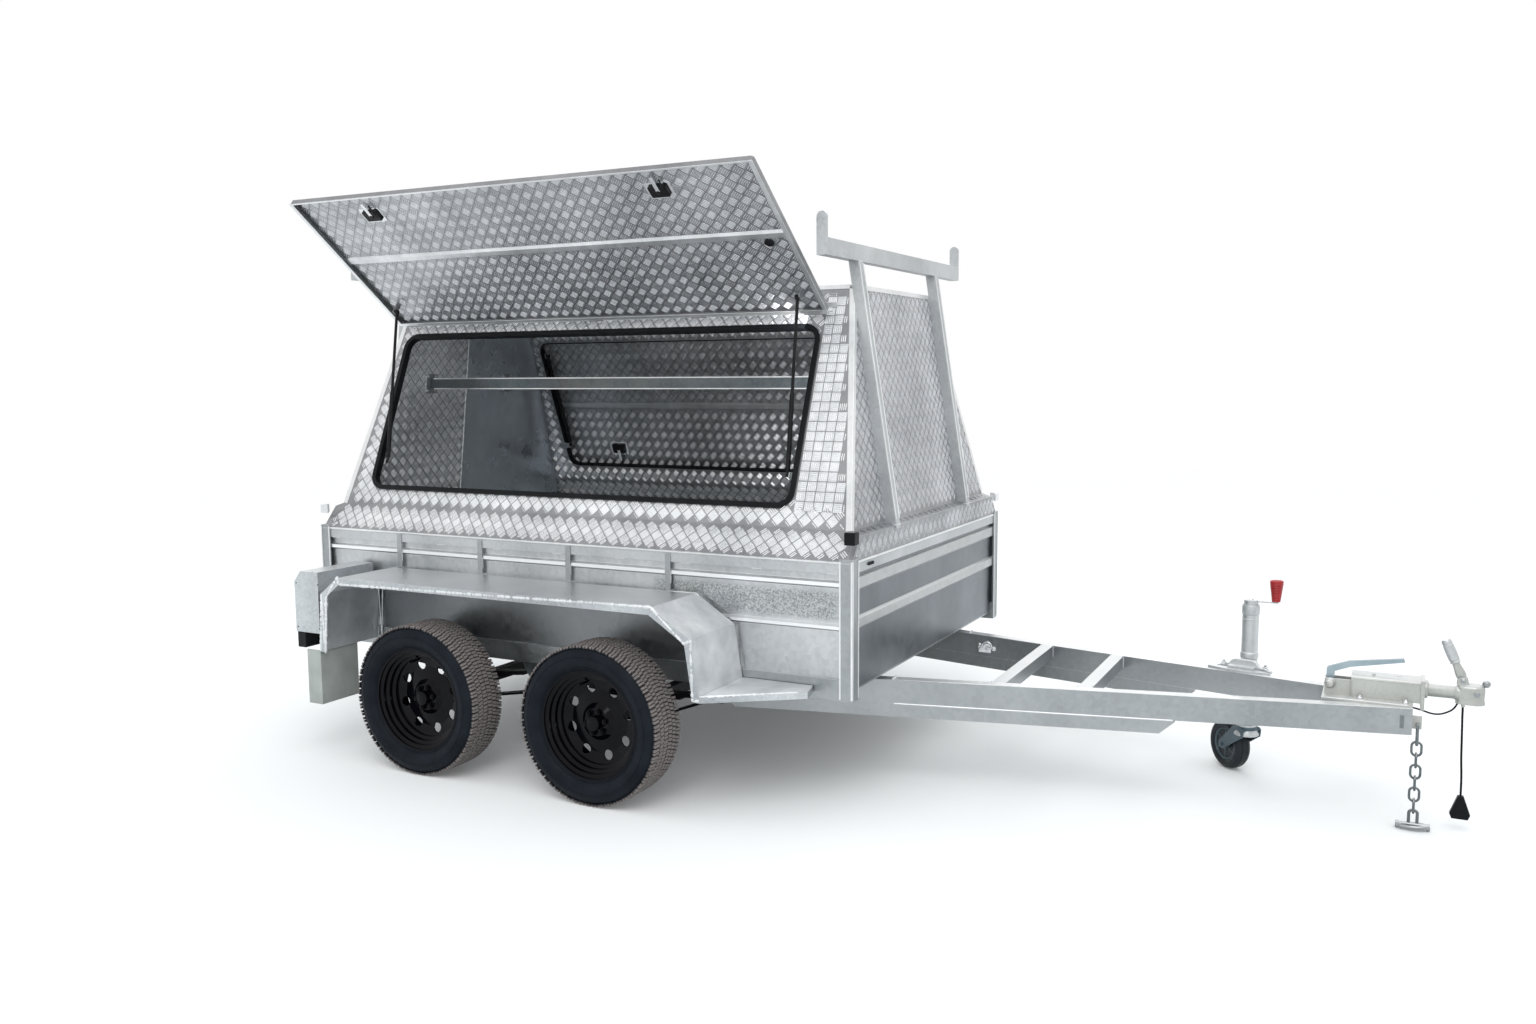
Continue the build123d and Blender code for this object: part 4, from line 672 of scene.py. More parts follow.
def inside(points, triangles):
    """Which 2-D points lie in any of the 2-D triangles."""
    hit = np.zeros(len(points), bool)
    for a, b, c in triangles:
        low, high = np.minimum(np.minimum(a, b), c), np.maximum(np.maximum(a, b), c)
        near = ~hit & np.all((points >= low - 1e-6) & (points <= high + 1e-6), axis=1)
        if not near.any():
            continue
        p = points[near]
        sides = []
        for start, end in ((a, b), (b, c), (c, a)):
            way = end - start
            sides.append(way[0] * (p[:, 1] - start[1]) - way[1] * (p[:, 0] - start[0]))
        sides = np.array(sides)
        within = np.all(sides >= -1e-9, axis=0) | np.all(sides <= 1e-9, axis=0)
        hit[np.flatnonzero(near)[within]] = True
    return hit


def cell_grid(low, high, turn):
    """Centres of the tread's square cells over a 2-D box, which of them are even, and two directions."""
    along = np.array([cos(turn), sin(turn)])
    across = np.array([-sin(turn), cos(turn)])
    reach = int(np.linalg.norm(high - low) / CELL / 1.4) + 3
    steps = np.arange(-reach, reach + 1)
    i, j = (grid.ravel() for grid in np.meshgrid(steps, steps, indexing="ij"))
    centre = (low + high) / 2 + CELL * (i[:, None] * along + j[:, None] * across)
    near = np.all((centre > low - CELL) & (centre < high + CELL), axis=1)
    return centre[near], ((i + j)[near] % 2 == 0)[:, None], along, across


def bar_grid(centre, even, along, across):
    """Centres and directions of tread bars: five to a cell, turned cell by cell."""
    centres, ways = [], []
    for step in range(BARS_PER_CELL):
        shift = (step - (BARS_PER_CELL - 1) / 2) * CELL / BARS_PER_CELL
        centres.append(centre + np.where(even, across, along) * shift)
        ways.append(np.where(even, along, across))
    return np.concatenate(centres), np.concatenate(ways)


def bar_points(centres, ways, grow=0.0):
    """Six outline points and two ridge points of each bar, in 2-D."""
    side = np.column_stack((-ways[:, 1], ways[:, 0]))
    length, width = BAR_HALF_LENGTH + grow, BAR_HALF_WIDTH + grow
    shoulder, ridge = length - BAR_TIP, BAR_HALF_LENGTH - BAR_TIP
    places = [(-length, 0), (-shoulder, -width), (shoulder, -width)]
    places += [(length, 0), (shoulder, width), (-shoulder, width), (-ridge, 0), (ridge, 0)]
    return np.stack([centres + ways * run + side * step for run, step in places], axis=1)


BRIGHT = ("tread_bar", "tread_pad")
# Darker tread looks: painted shade on the front wall and the doors.
TREAD_LOOKS_IN_PAINTED_SHADE = ("tread_bar_in_painted_shade", "tread_pad_in_painted_shade")


def in_plane(normal, corners):
    """Origin and two directions of a flat area, and its triangles measured along them."""
    level = np.array([-normal[1], normal[0], 0.0])
    if np.linalg.norm(level) < 0.3:
        level = np.array([1.0, 0.0, 0.0])
    level /= np.linalg.norm(level)
    rise = np.cross(normal, level)
    origin = corners[0, 0]
    flat = np.stack(((corners - origin) @ level, (corners - origin) @ rise), axis=-1)
    return origin, level, rise, flat


def pad_points(centre, along, across):
    """Four corners of each cell's square pad, in 2-D."""
    half = (CELL - PAD_GAP) / 2
    corners = ((-half, -half), (half, -half), (half, half), (-half, half))
    return centre[:, None, :] + np.array([along * a + across * b for a, b in corners])[None]


def clear_of(boxes, points):
    """The shapes whose middle lies in none of the boxes."""
    for low, high in boxes:
        middle = points.mean(axis=1)
        points = points[~np.all((middle > low) & (middle < high), axis=1)]
    return points


def tread(name, nodes, body, wanted, turn=pi / 4, avoid=(), looks=BRIGHT):
    """Raised five-bar tread over the wanted flat areas of CAD nodes: bars on pale square pads."""
    bars, pads = Piece(), Piece()
    bar_lift = np.array([BAR_SINK] * 6 + [BAR_HEIGHT] * 2)
    pad_lift = np.full(4, PAD_HEIGHT)
    for normal, corners, _ in (area for node in nodes for area in flat_areas(node)):
        if not wanted(normal, corners.reshape(-1, 3).mean(axis=0)):
            continue
        origin, level, rise, flat = in_plane(normal, corners)
        corners_2d = flat.reshape(-1, 2)
        centre, even, along, across = cell_grid(corners_2d.min(axis=0), corners_2d.max(axis=0), turn)
        centres, ways = bar_grid(centre, even, along, across)
        edge = bar_points(centres, ways, BAR_MARGIN)[:, :6]
        square = pad_points(centre, along, across)
        jobs = [(bars, edge, bar_points(centres, ways), bar_lift, BAR_FACES)]
        jobs.append((pads, square, square, pad_lift, [(0, 1, 2, 3)]))
        for piece, outline, shape, lift, shape_faces in jobs:
            kept = inside(outline.reshape(-1, 2), flat).reshape(-1, outline.shape[1]).all(axis=1)
            points = shape[kept]
            points = origin + points[..., :1] * level + points[..., 1:] * rise + lift[None, :, None] * normal
            points = clear_of(avoid, points)
            base = len(piece.verts) + points.shape[1] * np.arange(len(points))
            piece.verts += points.reshape(-1, 3).tolist()
            piece.faces += [tuple(b + i for i in face) for b in base.tolist() for face in shape_faces]
    bars.make(name, looks[0], body, "tread_plate", smooth=0)
    if pads.faces:
        pads.make(name + "_pads", looks[1], body, "tread_plate", smooth=0)


def overlay(name, node, body, wanted, material, slot):
    """Thin skin of another finish over the wanted flat areas of a CAD node."""
    piece = Piece()
    for normal, corners, _ in flat_areas(node):
        if not wanted(normal, corners.reshape(-1, 3).mean(axis=0)):
            continue
        base = len(piece.verts)
        piece.verts += (corners.reshape(-1, 3) + normal * SKIN_LIFT).tolist()
        piece.faces += [(base + i, base + i + 1, base + i + 2) for i in range(0, 3 * len(corners), 3)]
    piece.make(name, material, body, slot, smooth=0)


FAR = 9.0
STRIP_X = FRONT_X - 0.283
STRIP_Z = 1.07


# Which flat areas are wanted, by their unit normal and their middle


def is_end(normal, middle):
    return abs(normal[1]) < 0.1 and abs(normal[0]) > 0.05


def is_side(normal, middle):
    return abs(normal[1]) > 0.5


def is_top(normal, middle):
    return normal[2] > 0.9


def is_slope(normal, middle):
    return abs(normal[1]) < 0.1 and abs(normal[0]) > 0.3


def add_tread():
    """Tread on the canopy's walls, ledges, roof and doors; smooth frosted zinc on guards and steps."""
    low, high = (-FAR, -FAR, -FAR), (FAR, FAR, FAR)
    strip = [((STRIP_X, -FAR, STRIP_Z), high)]
    off_strip = [(low, (STRIP_X, FAR, FAR)), (low, (FAR, FAR, STRIP_Z))]
    plain_rear = [((REAR_X + 0.05, -0.03, 0.0), (REAR_X + 0.9, FAR, FAR))]
    front, rear, sides = ["canopy_front_wall"], ["canopy_rear_wall"], ["canopy_sides"]
    # The front wall and the doors take the darker tread looks, as painted shade.
    tread("front_tread", front, "trailer", is_end, looks=TREAD_LOOKS_IN_PAINTED_SHADE)
    tread("rear_tread", rear, "trailer", lambda n, c: is_end(n, c) and n[0] < 0)
    tread("rear_inner_tread", rear, "trailer", lambda n, c: is_end(n, c) and n[0] > 0, avoid=plain_rear)
    tread("ledge_tread", front + rear, "trailer", lambda n, c: is_top(n, c) and c[2] < 1.2)
    tread("roof_tread", ["canopy_roof"], "trailer", is_top)
    tread("side_tread", sides, "trailer", is_side, avoid=strip)
    tread("strip_tread", sides, "trailer", is_side, 0.0, off_strip)
    for node in ("door_right", "door_left"):
        tread(node + "_tread", [node], node, lambda n, c: abs(n[0]) < 0.05, looks=TREAD_LOOKS_IN_PAINTED_SHADE)
    overlay("guard_slopes", "mudguards", "trailer", is_slope, "frost_sheet", "galvanised_steel")
    overlay("step_tops", "steps", "trailer", lambda n, c: abs(n[2]) > 0.9, "frost_sheet", "galvanised_steel")


# Wheels ------------------------------------------------------------------------------------------

TREAD_DEPTH = 0.0075
TREAD_PITCHES = 64
TREAD_ROWS = [(0.0030, 0.024, 0.87, 0.003), (0.0290, 0.050, 0.85, 0.007), (0.0550, 0.083, 0.78, 0.004)]
ROW_SHIFT = 0.33
BLOCK_TAPER = 0.0012
SIPE_HALF_WIDTH = 0.0008
CROWN_FROM = 0.060
CROWN_DROP = 4.0
WHEELS = {
    "rf": "wheel_front_right",
    "rr": "wheel_rear_right",
    "lf": "wheel_front_left",
    "lr": "wheel_rear_left",
}


def tyre_profile(radius, half, bead):
    """Half section of the tyre from the bead to the middle of the tread, as (radius, y)."""
    wall = radius - bead
    points = [(bead - 0.004, half - 0.030), (bead, half - 0.022), (bead + 0.004, half - 0.017)]
    points += [(bead + 0.008, half - 0.0185), (bead + 0.014, half - 0.010)]
    insets = [(0.30, 0.003), (0.42, 0.0), (0.5, 0.0004), (0.51, 0.002), (0.56, 0.002), (0.57, 0.0008)]
    insets += [(0.66, 0.003), (0.76, 0.007), (0.84, 0.0125), (0.9, 0.020)]
    points += [(bead + wall * share, half - inset) for share, inset in insets]
    base = radius - TREAD_DEPTH
    return points + [(base - 0.001, half - 0.028), (base, half - 0.045), (base + 0.0005, 0.0)]


def tread_block(piece, radius, y0, y1, start, end, slant, base):
    """One tread block between two angles; slant turns its ends as they go across."""
    rows = []
    for level, shrink in ((base, 0.0), (radius, BLOCK_TAPER)):
        row = []
        for y, angle, inward in ((y0, start, 1), (y0, end, -1), (y1, end, -1), (y1, start, 1)):
            angle += (slant if y == y1 else -slant) + inward * shrink / radius
            y += shrink if y == y0 else -shrink
            reach = level - max(0.0, abs(y) - CROWN_FROM) ** 2 * CROWN_DROP
            row.append((reach * sin(angle), y, reach * cos(angle)))
        rows.append(row)
    piece.skin(rows)


def add_tread_blocks(tyre, radius):
    """Three rows of sliced blocks on each half: (y from, y to, share of the pitch, slant)."""
    base = radius - TREAD_DEPTH - 0.002
    pitch = 2 * pi / TREAD_PITCHES
    sipe = SIPE_HALF_WIDTH / radius
    for sign in (-1, 1):
        for row, (y0, y1, fill, slant) in enumerate(TREAD_ROWS):
            near, far = sorted((sign * y0, sign * y1))
            for index in range(TREAD_PITCHES):
                start = pitch * (index + ROW_SHIFT * row + (0.5 if sign > 0 else 0.0))
                middle, end = start + pitch * fill / 2, start + pitch * fill
                for first, last in ((start, middle - sipe), (middle + sipe, end)):
                    tread_block(tyre, radius, near, far, first, last, slant * sign, base)


def make_tyre(suffix, body):
    """Tyre turned about its own axle, with its tread blocks."""
    low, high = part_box("tyre_" + suffix)
    centre, radius, half = (low + high) / 2, (high.z - low.z) / 2, (high.y - low.y) / 2
    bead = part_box("rim_" + suffix)[1].z - centre.z + 0.0005
    section = tyre_profile(radius, half, bead)
    line = section + [(r, -y) for r, y in reversed(section[:-1])]
    tyre = Piece()
    tyre.skin([[(r * b, y, r * a) for r, y in line] for a, b in circle(1.0, 96)], loop=True)
    add_tread_blocks(tyre, radius)
    tyre.move(Matrix.Translation(centre))
    node = "tyre_" + suffix
    tyre.make("tyre_body_" + suffix, "tyre", body, "tyre_rubber", smooth=40, replaces=[node], origin=centre)


WHEEL_NUTS = 6
NUT_CIRCLE = 0.042
NUT_TURN = 0.2
FACE_OUT = 0.018
HUB_CAP = [(0.0275, 0.0), (0.0275, 0.022), (0.0262, 0.025), (0.0225, 0.0265), (0.0, 0.027)]
VALVE_CIRCLE, VALVE_TURN, VALVE_INSET = 0.150, 1.9, 0.045
VALVE = [(0.005, -0.02), (0.005, 0.012), (0.004, 0.013), (0.0042, 0.024), (0.003, 0.026)]


def make_wheel_trim(suffix, body):
    """Nuts, hub cap and valve on the rim's outer face."""
    low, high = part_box("rim_" + suffix)
    centre = (low + high) / 2
    out = 1 if suffix[0] == "l" else -1
    face = centre + Y * out * FACE_OUT
    trim = Piece()
    for x, z in circle(NUT_CIRCLE, WHEEL_NUTS, NUT_TURN * WHEEL_NUTS / (2 * pi)):
        trim.nut(axes(face + Vector((x, 0, z)), X, Y * out), 0.019, 0.014, 0.006, 0.005)
    trim.lathe(HUB_CAP, axes(face, X, Y * out), 28, caps=False)
    reach = (high.y - low.y) / 2 - VALVE_INSET
    stem = Vector((VALVE_CIRCLE * cos(VALVE_TURN), out * reach, VALVE_CIRCLE * sin(VALVE_TURN)))
    trim.lathe(VALVE, axes(centre + stem, X, Y * out), 12)
    trim.make("wheel_trim_" + suffix, "rim", body, "black_rim", smooth=30)


# Canopy trim -------------------------------------------------------------------------------------


def downhill(way, normal, other):
    """Direction across a face, from the edge it shares with the other face."""
    down = way.cross(normal)
    return -down if down.dot(other) > 0 else down


STRIP_THICK = 0.0018
CORNER_LEG, ROOF_LEG = 0.020, 0.016


def angle_trim(piece, start, end, normals, leg):
    """Folded angle over the edge between two faces with the given outward normals."""
    way = (end - start).normalized()
    first, second = (n.normalized() for n in normals)
    down_first, down_second = downhill(way, first, second), downhill(way, second, first)
    peak = (first + second) / (1 + first.dot(second)) * STRIP_THICK
    outline = [down_first * leg, down_first * leg + first * STRIP_THICK, peak]
    outline += [down_second * leg + second * STRIP_THICK, down_second * leg, -0.2 * peak]
    piece.skin([[end_point + step for step in outline] for end_point in (start, end)])


RIVET_PITCH = 0.125
RIVET_RADIUS = 0.0038


def rivet_row(piece, start, end, normal):
    """Rivet heads along a line, standing on a face with the given normal."""
    start, end = Vector(start), Vector(end)
    count = max(2, round((end - start).length / RIVET_PITCH) + 1)
    for index in range(count):
        spot = start.lerp(end, index / (count - 1))
        piece.rivet(axes(spot, end - start, normal), RIVET_RADIUS)


def canopy_planes():
    """The canopy's outer faces by name, each as a unit normal and a point."""
    planes = {"roof": plane_of("canopy_roof", lambda n: n[2] > 0.9)}
    for end, sign in (("front", 1), ("rear", -1)):
        node = f"canopy_{end}_wall"
        planes[end] = plane_of(node, lambda n: n[0] * sign > 0.5)
        planes[end + "_ledge"] = plane_of(node, lambda n: n[2] > 0.9 and n[0] * sign >= -0.01)
    for side, sign in (("left", 1), ("right", -1)):
        planes[side] = plane_of("canopy_sides", lambda n: n[1] * sign > 0.5 and 0.25 < n[2] < 0.6)
    return planes


def make_canopy_trim():
    """Folded strips over the canopy's upright corners and round its roof."""
    planes = canopy_planes()
    strips = Piece()

    def strip(start, end, first, second, leg):
        ends = (meet(planes[first], planes[second], planes[stop]) for stop in (start, end))
        angle_trim(strips, *ends, (planes[first][0], planes[second][0]), leg)

    for end in ("front", "rear"):
        for side in ("left", "right"):
            strip(end + "_ledge", "roof", end, side, CORNER_LEG)
        strip("right", "left", end, "roof", ROOF_LEG)
    for side in ("left", "right"):
        strip("rear", "front", side, "roof", ROOF_LEG)
    strips.make("canopy_corner_strips", "aluminium", "trailer", "plain_aluminium", bevel=0.0006, smooth=0)


# Doors -------------------------------------------------------------------------------------------

DOOR_LENGTH = 0.765
DOOR_HALF_DEPTH = 0.011
DOOR_SHEET = 0.003
DOOR_REAR, DOOR_FRONT = -2.352, -0.258
LATCHES = (-2.0, -0.67)
STRUT_ROD_RADIUS = 0.0062
LATCH_DOWN = 0.655
CREASE_DOWN = 0.392
LIP_WIDTH = 0.016
LIP_DOWN = 0.011
CREASE = [(0.0, 0.0), (0.006, -0.007), (0.030, -0.0075), (0.042, 0.0)]
LOCK_TAIL = [(-0.041, -0.010), (0.030, -0.010), (0.041, -0.022), (0.046, 0.0)]
LOCK_TAIL += [(0.041, 0.022), (0.030, 0.010), (-0.041, 0.010)]
LOCK_BARREL = [(0.012, 0.002), (0.012, 0.008), (0.010, 0.0125), (0.0, 0.013)]
LOCK_CAP = [(0.009, 0.0), (0.009, 0.0135), (0.006, 0.015), (0.0, 0.0152)]
LOCK_ROD = [(-0.02, 0.008), (0.02, 0.013), (0.055, 0.009)]
TONGUE = [(-0.008, 0.0), (0.008, 0.0), (0.007, 0.070), (-0.007, 0.070)]
BUNG = [(0.019, 0), (0.019, 0.003), (0.016, 0.005), (0.008, 0.0055), (0, 0.0056)]
BUNG_X, BUNG_DOWN = -0.36, 0.372


class Door:
    """A door's own directions: x ahead of the tub's front, down from its hinge, out from its hinge."""

    def __init__(self, side):
        self.name = "door_" + side
        normal, corners, _ = max(flat_areas(self.name), key=lambda a: a[2])
        self.out = Vector(normal)
        self.hinge = Vector(JOINTS[self.name + "_lift"]["pos_m"])
        self.down = self.out.cross(X)
        if (Vector(corners.reshape(-1, 3).mean(axis=0)) - self.hinge).dot(self.down) < 0:
            self.down.negate()

    def at(self, x, down, out):
        """Point of the door from its place along the tub, and its steps down and out from the hinge."""
        base = Vector((FRONT_X + x, self.hinge.y, self.hinge.z))
        return base + self.down * down + self.out * out

    def place(self, x, down, out, inward=False):
        """Local frame with x along the trailer and z out of the door, or into the canopy."""
        return axes(self.at(x, down, out), X, -self.out if inward else self.out)

    def slab(self, piece, x0, x1, down0, down1, out0, out1):
        """Block between two places in each of the door's directions."""
        rings = []
        for out in (out0, out1):
            places = ((x0, down0), (x1, down0), (x1, down1), (x0, down1))
            rings.append([self.at(x, down, out) for x, down in places])
        piece.skin(rings)


ROUNDED_STEPS = 4


def rounded(half_x, half_y, corner):
    """Outline of a rectangle with rounded corners."""
    points = []
    for turn, (sx, sy) in enumerate(((1, 1), (-1, 1), (-1, -1), (1, -1))):
        x, y = sx * (half_x - corner), sy * (half_y - corner)
        for step in range(ROUNDED_STEPS + 1):
            angle = pi / 2 * (turn + step / ROUNDED_STEPS)
            points.append((x + corner * cos(angle), y + corner * sin(angle)))
    return points


def make_door_lip(door):
    """Folded lip round the door's inner side."""
    lip = Piece()
    outs = (-DOOR_HALF_DEPTH - 0.0008, -DOOR_HALF_DEPTH + 0.0018)
    rear, front = DOOR_REAR + LIP_WIDTH, DOOR_FRONT - LIP_WIDTH
    for x0, x1 in ((DOOR_REAR, rear), (front, DOOR_FRONT)):
        door.slab(lip, x0, x1, LIP_DOWN, DOOR_LENGTH, *outs)
    for down0, down1 in ((LIP_DOWN, 0.026), (DOOR_LENGTH - 0.007, DOOR_LENGTH)):
        door.slab(lip, rear, front, down0, down1, *outs)
    lip.make(door.name + "_lip", "aluminium", door.name, "plain_aluminium", bevel=0.0005, smooth=0)


def make_door_crease(door, inner):
    """Pressed crease along the inner face of the door's sheet."""
    crease = Piece()
    ends = (DOOR_REAR + 0.004, DOOR_FRONT - 0.004)
    crease.skin([[door.at(x, CREASE_DOWN + step, inner + out) for step, out in CREASE] for x in ends])
    crease.make(door.name + "_crease", "bead", door.name, "plain_aluminium", bevel=0.002, smooth=0)


def make_doors():
    """Lip, crease and locks of both doors; inner is how far out the inner face of the sheet lies."""
    inner = DOOR_HALF_DEPTH - DOOR_SHEET
    for side in ("right", "left"):
        door = Door(side)
        make_door_lip(door)
        make_door_crease(door, inner)
        locks, dark = Piece(), Piece()
        for x in LATCHES:
            make_latch(door, locks, dark, x, inner)
        locks.make(door.name + "_locks", "chrome", door.name, "plain_aluminium", bevel=0.0007)
        dark.lathe(BUNG, door.place(BUNG_X, BUNG_DOWN, inner, inward=True), 24, caps=False)
        dark.make(door.name + "_lock_seats", "black", door.name, "black_plastic", bevel=0.0007)


def make_latch(door, locks, dark, x, inner):
    """Whale-tail lock outside; its seat, box and tongue inside."""
    outer = door.place(x, LATCH_DOWN, DOOR_HALF_DEPTH)
    locks.prism(rounded(0.060, 0.043, 0.012), 0.0, 0.0028, outer)
    dark.prism(rounded(0.050, 0.034, 0.010), 0.0026, 0.0034, outer)
    locks.prism(LOCK_TAIL, 0.004, 0.011, outer)
    locks.lathe(LOCK_BARREL, outer, 20, caps=False)
    back = door.place(x, LATCH_DOWN, inner, inward=True)
    locks.prism(rounded(0.052, 0.036, 0.006), 0.0, 0.0020, back)
    dark.prism(rounded(0.037, 0.024, 0.004), 0.0018, 0.0110, back)
    dark.lathe(LOCK_CAP, back, 16, caps=False)
    way = 1 if (back.inverted() @ door.at(x, LATCH_DOWN + 0.1, inner)).y > 0 else -1
    locks.prism([(x, way * y) for x, y in TONGUE[::way]], 0.0105, 0.0135, back)
    dark.tube([back @ Vector((0.026, way * y, z)) for y, z in LOCK_ROD], 0.003, 8)


# Canopy ------------------------------------------------------------------------------------------

SEAM_Y = -0.030
SEAM_FOOT = 0.930
SEAM_STEPS = 120


def make_rear_wall_sheet():
    """Plain sheet over one part of the rear wall's inner face, and the uneven sealed seam at its edge."""
    wall = plane_of("canopy_rear_wall", lambda n: n[0] > 0.5)
    plain, seam = Piece(), Piece()
    corners = [(SEAM_Y, SEAM_FOOT), (0.770, SEAM_FOOT), (0.462, 1.826), (SEAM_Y, 1.826)]
    plain.skin([[on_wall(wall, y, z, out) for y, z in corners] for out in (-0.0005, 0.0006)])
    plain.make("rear_wall_plain_sheet", "sheet_dim", "trailer", "plain_aluminium", smooth=0)
    steps = range(SEAM_STEPS + 1)
    line = [(SEAM_Y + 0.0012 * sin(i * 2.1), SEAM_FOOT + 0.90 * i / SEAM_STEPS) for i in steps]
    radii = [0.0030 + 0.0010 * sin(i * 1.3) for i in steps]
    seam.tube([on_wall(wall, y, z, 0.001) for y, z in line], radii, 8)
    seam.make("rear_wall_seam", "frost", "trailer", "plain_aluminium")


def make_inner_bar_details():
    """Bolted flanges of the inner bars on the rear wall, and the raised lips of their channels."""
    wall = plane_of("canopy_rear_wall", lambda n: n[0] > 0.5)
    low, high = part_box("inner_bar")
    brackets, lips = Piece(), Piece()
    for sign in (-1, 1):
        flange = axes(on_wall(wall, sign * 0.2725, 1.522), Y, wall[0])
        brackets.prism(rounded(0.036, 0.045, 0.006), 0.0, 0.004, flange)
        for dy in (-0.026, 0.026):
            for dz in (-0.033, 0.033):
                brackets.nut(flange @ Matrix.Translation((dy, dz, 0.004)), 0.010, 0.005, 0.003, 0.002)
        for z in (low.z - 0.0006, high.z - 0.0045):
            lips.box((low.x + 0.03, sign * 0.2595, z), (high.x - 0.03, sign * 0.2855, z + 0.0051))
    brackets.make("inner_bar_brackets", "zinc", "trailer", "galvanised_steel", bevel=0.0006)
    lips.make("inner_bar_lips", "bead", "trailer", "galvanised_steel", bevel=0.0006, smooth=0)


def make_canopy_details():
    """Rear wall, inner bars, corner caps and the trim of the openings."""
    make_rear_wall_sheet()
    make_inner_bar_details()
    make_corner_caps()
    make_opening_trim()


def make_corner_caps():
    """One black moulded cap at the front right, and three folded metal lips."""
    low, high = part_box("corner_caps")
    caps = {"rubber": Piece(), "aluminium": Piece()}
    sides = ((0.0, 0.0), (-0.040, 0.0), (-0.040, -0.010), (-0.014, -0.018), (-0.010, -0.042), (0.0, -0.042))
    place = Matrix.Translation((0, 0, low.z))
    for end, x in ((1, high.x), (-1, low.x)):
        for sign in (-1, 1):
            kind, rise = ("rubber", 0.012) if end > 0 > sign else ("aluminium", 0.004)
            outline = [(x + end * dx, sign * (high.y + dy)) for dx, dy in sides]
            if end * sign < 0:
                outline.reverse()
            caps[kind].prism(outline, 0.0, high.z - low.z + rise, place)
    for name, kind, slot, bevel in (
        ("corner_cap_black", "rubber", "black_plastic", 0.003),
        ("corner_lips", "aluminium", "plain_aluminium", 0.002),
    ):
        caps[kind].make(name, kind, "trailer", slot, bevel=bevel, replaces=["corner_caps"])


RIVET_Y, RIVET_END_Y = 0.8395, 0.80
SIDE_RIVET_Z, END_RIVET_Z = 0.925, 0.930
DRIP_RAIL_ENDS = (-2.372, -0.238)
DRIP_RAIL_Z = 1.800
DRIP_RAIL = [(0.0, 0.0), (0.012, 0.004), (0.018, 0.013), (0.015, 0.014), (0.010, 0.0065), (0.0, 0.003)]


def make_opening_trim():
    """Rivets along the foot of the canopy and a drip rail over each opening."""
    planes = canopy_planes()
    rails, rivets = Piece(), Piece()
    for side, sign in (("right", -1), ("left", 1)):
        normal, point = planes[side]

        def on_side(x, z):
            return Vector(ahead(x, point.y - normal.z * (z - point.z) / normal.y, z))

        rise = (on_side(0, DRIP_RAIL_Z) - on_side(0, DRIP_RAIL_Z - 0.1)).normalized()
        bases = [on_side(x, DRIP_RAIL_Z) for x in DRIP_RAIL_ENDS]
        rails.skin([[base + rise * up + normal * out for up, out in DRIP_RAIL] for base in bases])
        y, z = sign * RIVET_Y, SIDE_RIVET_Z
        rivet_row(rivets, (REAR_X + 0.06, y, z), (FRONT_X - 0.06, y, z), Y * sign)
    for end, x in ((1, FRONT_X - 0.0058), (-1, REAR_X + 0.0058)):
        rivet_row(rivets, (x, -RIVET_END_Y, END_RIVET_Z), (x, RIVET_END_Y, END_RIVET_Z), X * end)
    rails.make("drip_rails", "aluminium", "trailer", "plain_aluminium", bevel=0.0005, smooth=0)
    rivets.make("canopy_rivets", "chrome", "trailer", "plain_aluminium")


# Tub ---------------------------------------------------------------------------------------------


POST_FOOT, POST_HEAD = 0.43, 0.915
EDGE_WIDTH, EDGE_PROUD = 0.006, 0.0022
BEAD_Z, BEAD_RADIUS = 0.9085, 0.0042
STAKES = (-0.742, -1.194, -1.627, -2.055)


def make_post_edges(welds):
    """Raised edges down the faces of the corner posts, and the weld beside each post."""
    edges = Piece()
    for sign in (-1, 1):
        for x in (FRONT_X - 0.0495, FRONT_X - EDGE_WIDTH, REAR_X, REAR_X + 0.0495 - EDGE_WIDTH):
            y = sign * SIDE_Y
            edges.box((x, y, POST_FOOT), (x + EDGE_WIDTH, y + sign * EDGE_PROUD, POST_HEAD))
        for x, out in ((FRONT_X, EDGE_PROUD), (REAR_X, -EDGE_PROUD)):
            for y in (SIDE_Y, SIDE_Y - 0.049):
                edges.box((x, sign * y, POST_FOOT), (x + out, sign * (y - EDGE_WIDTH), POST_HEAD))
            y = sign * (SIDE_Y - 0.052)
            welds.weld((x, y, 0.47), (x, y, 0.86), 0.0022)
    edges.make("post_edges", "aluminium", "trailer", "galvanised_steel", bevel=0.0006, smooth=0)


def make_top_rail_details():
    """Rounded bead along each top rail, and three slots in the front one."""
    beads, slots = Piece(), Piece()
    for sign in (-1, 1):
        y = sign * (SIDE_Y - 0.004)
        beads.tube([(REAR_X + 0.01, y, BEAD_Z), (FRONT_X - 0.01, y, BEAD_Z)], BEAD_RADIUS, 10)
    for x in (FRONT_X - 0.0045, REAR_X + 0.0045):
        beads.tube([(x, -0.79, BEAD_Z), (x, 0.79, BEAD_Z)], BEAD_RADIUS, 10)
    beads.make("rail_beads", "aluminium", "trailer", "galvanised_steel")
    # Black blocks in the three slots: painted shade of the openings.
    for y in (-0.700, -0.683, -0.666):
        slots.box((FRONT_X - 0.0052, y, 0.884), (FRONT_X + 0.0012, y + 0.009, 0.895))
    slots.make("front_rail_slot_shade", "black", "trailer", "black_paint", bevel=0.0008)


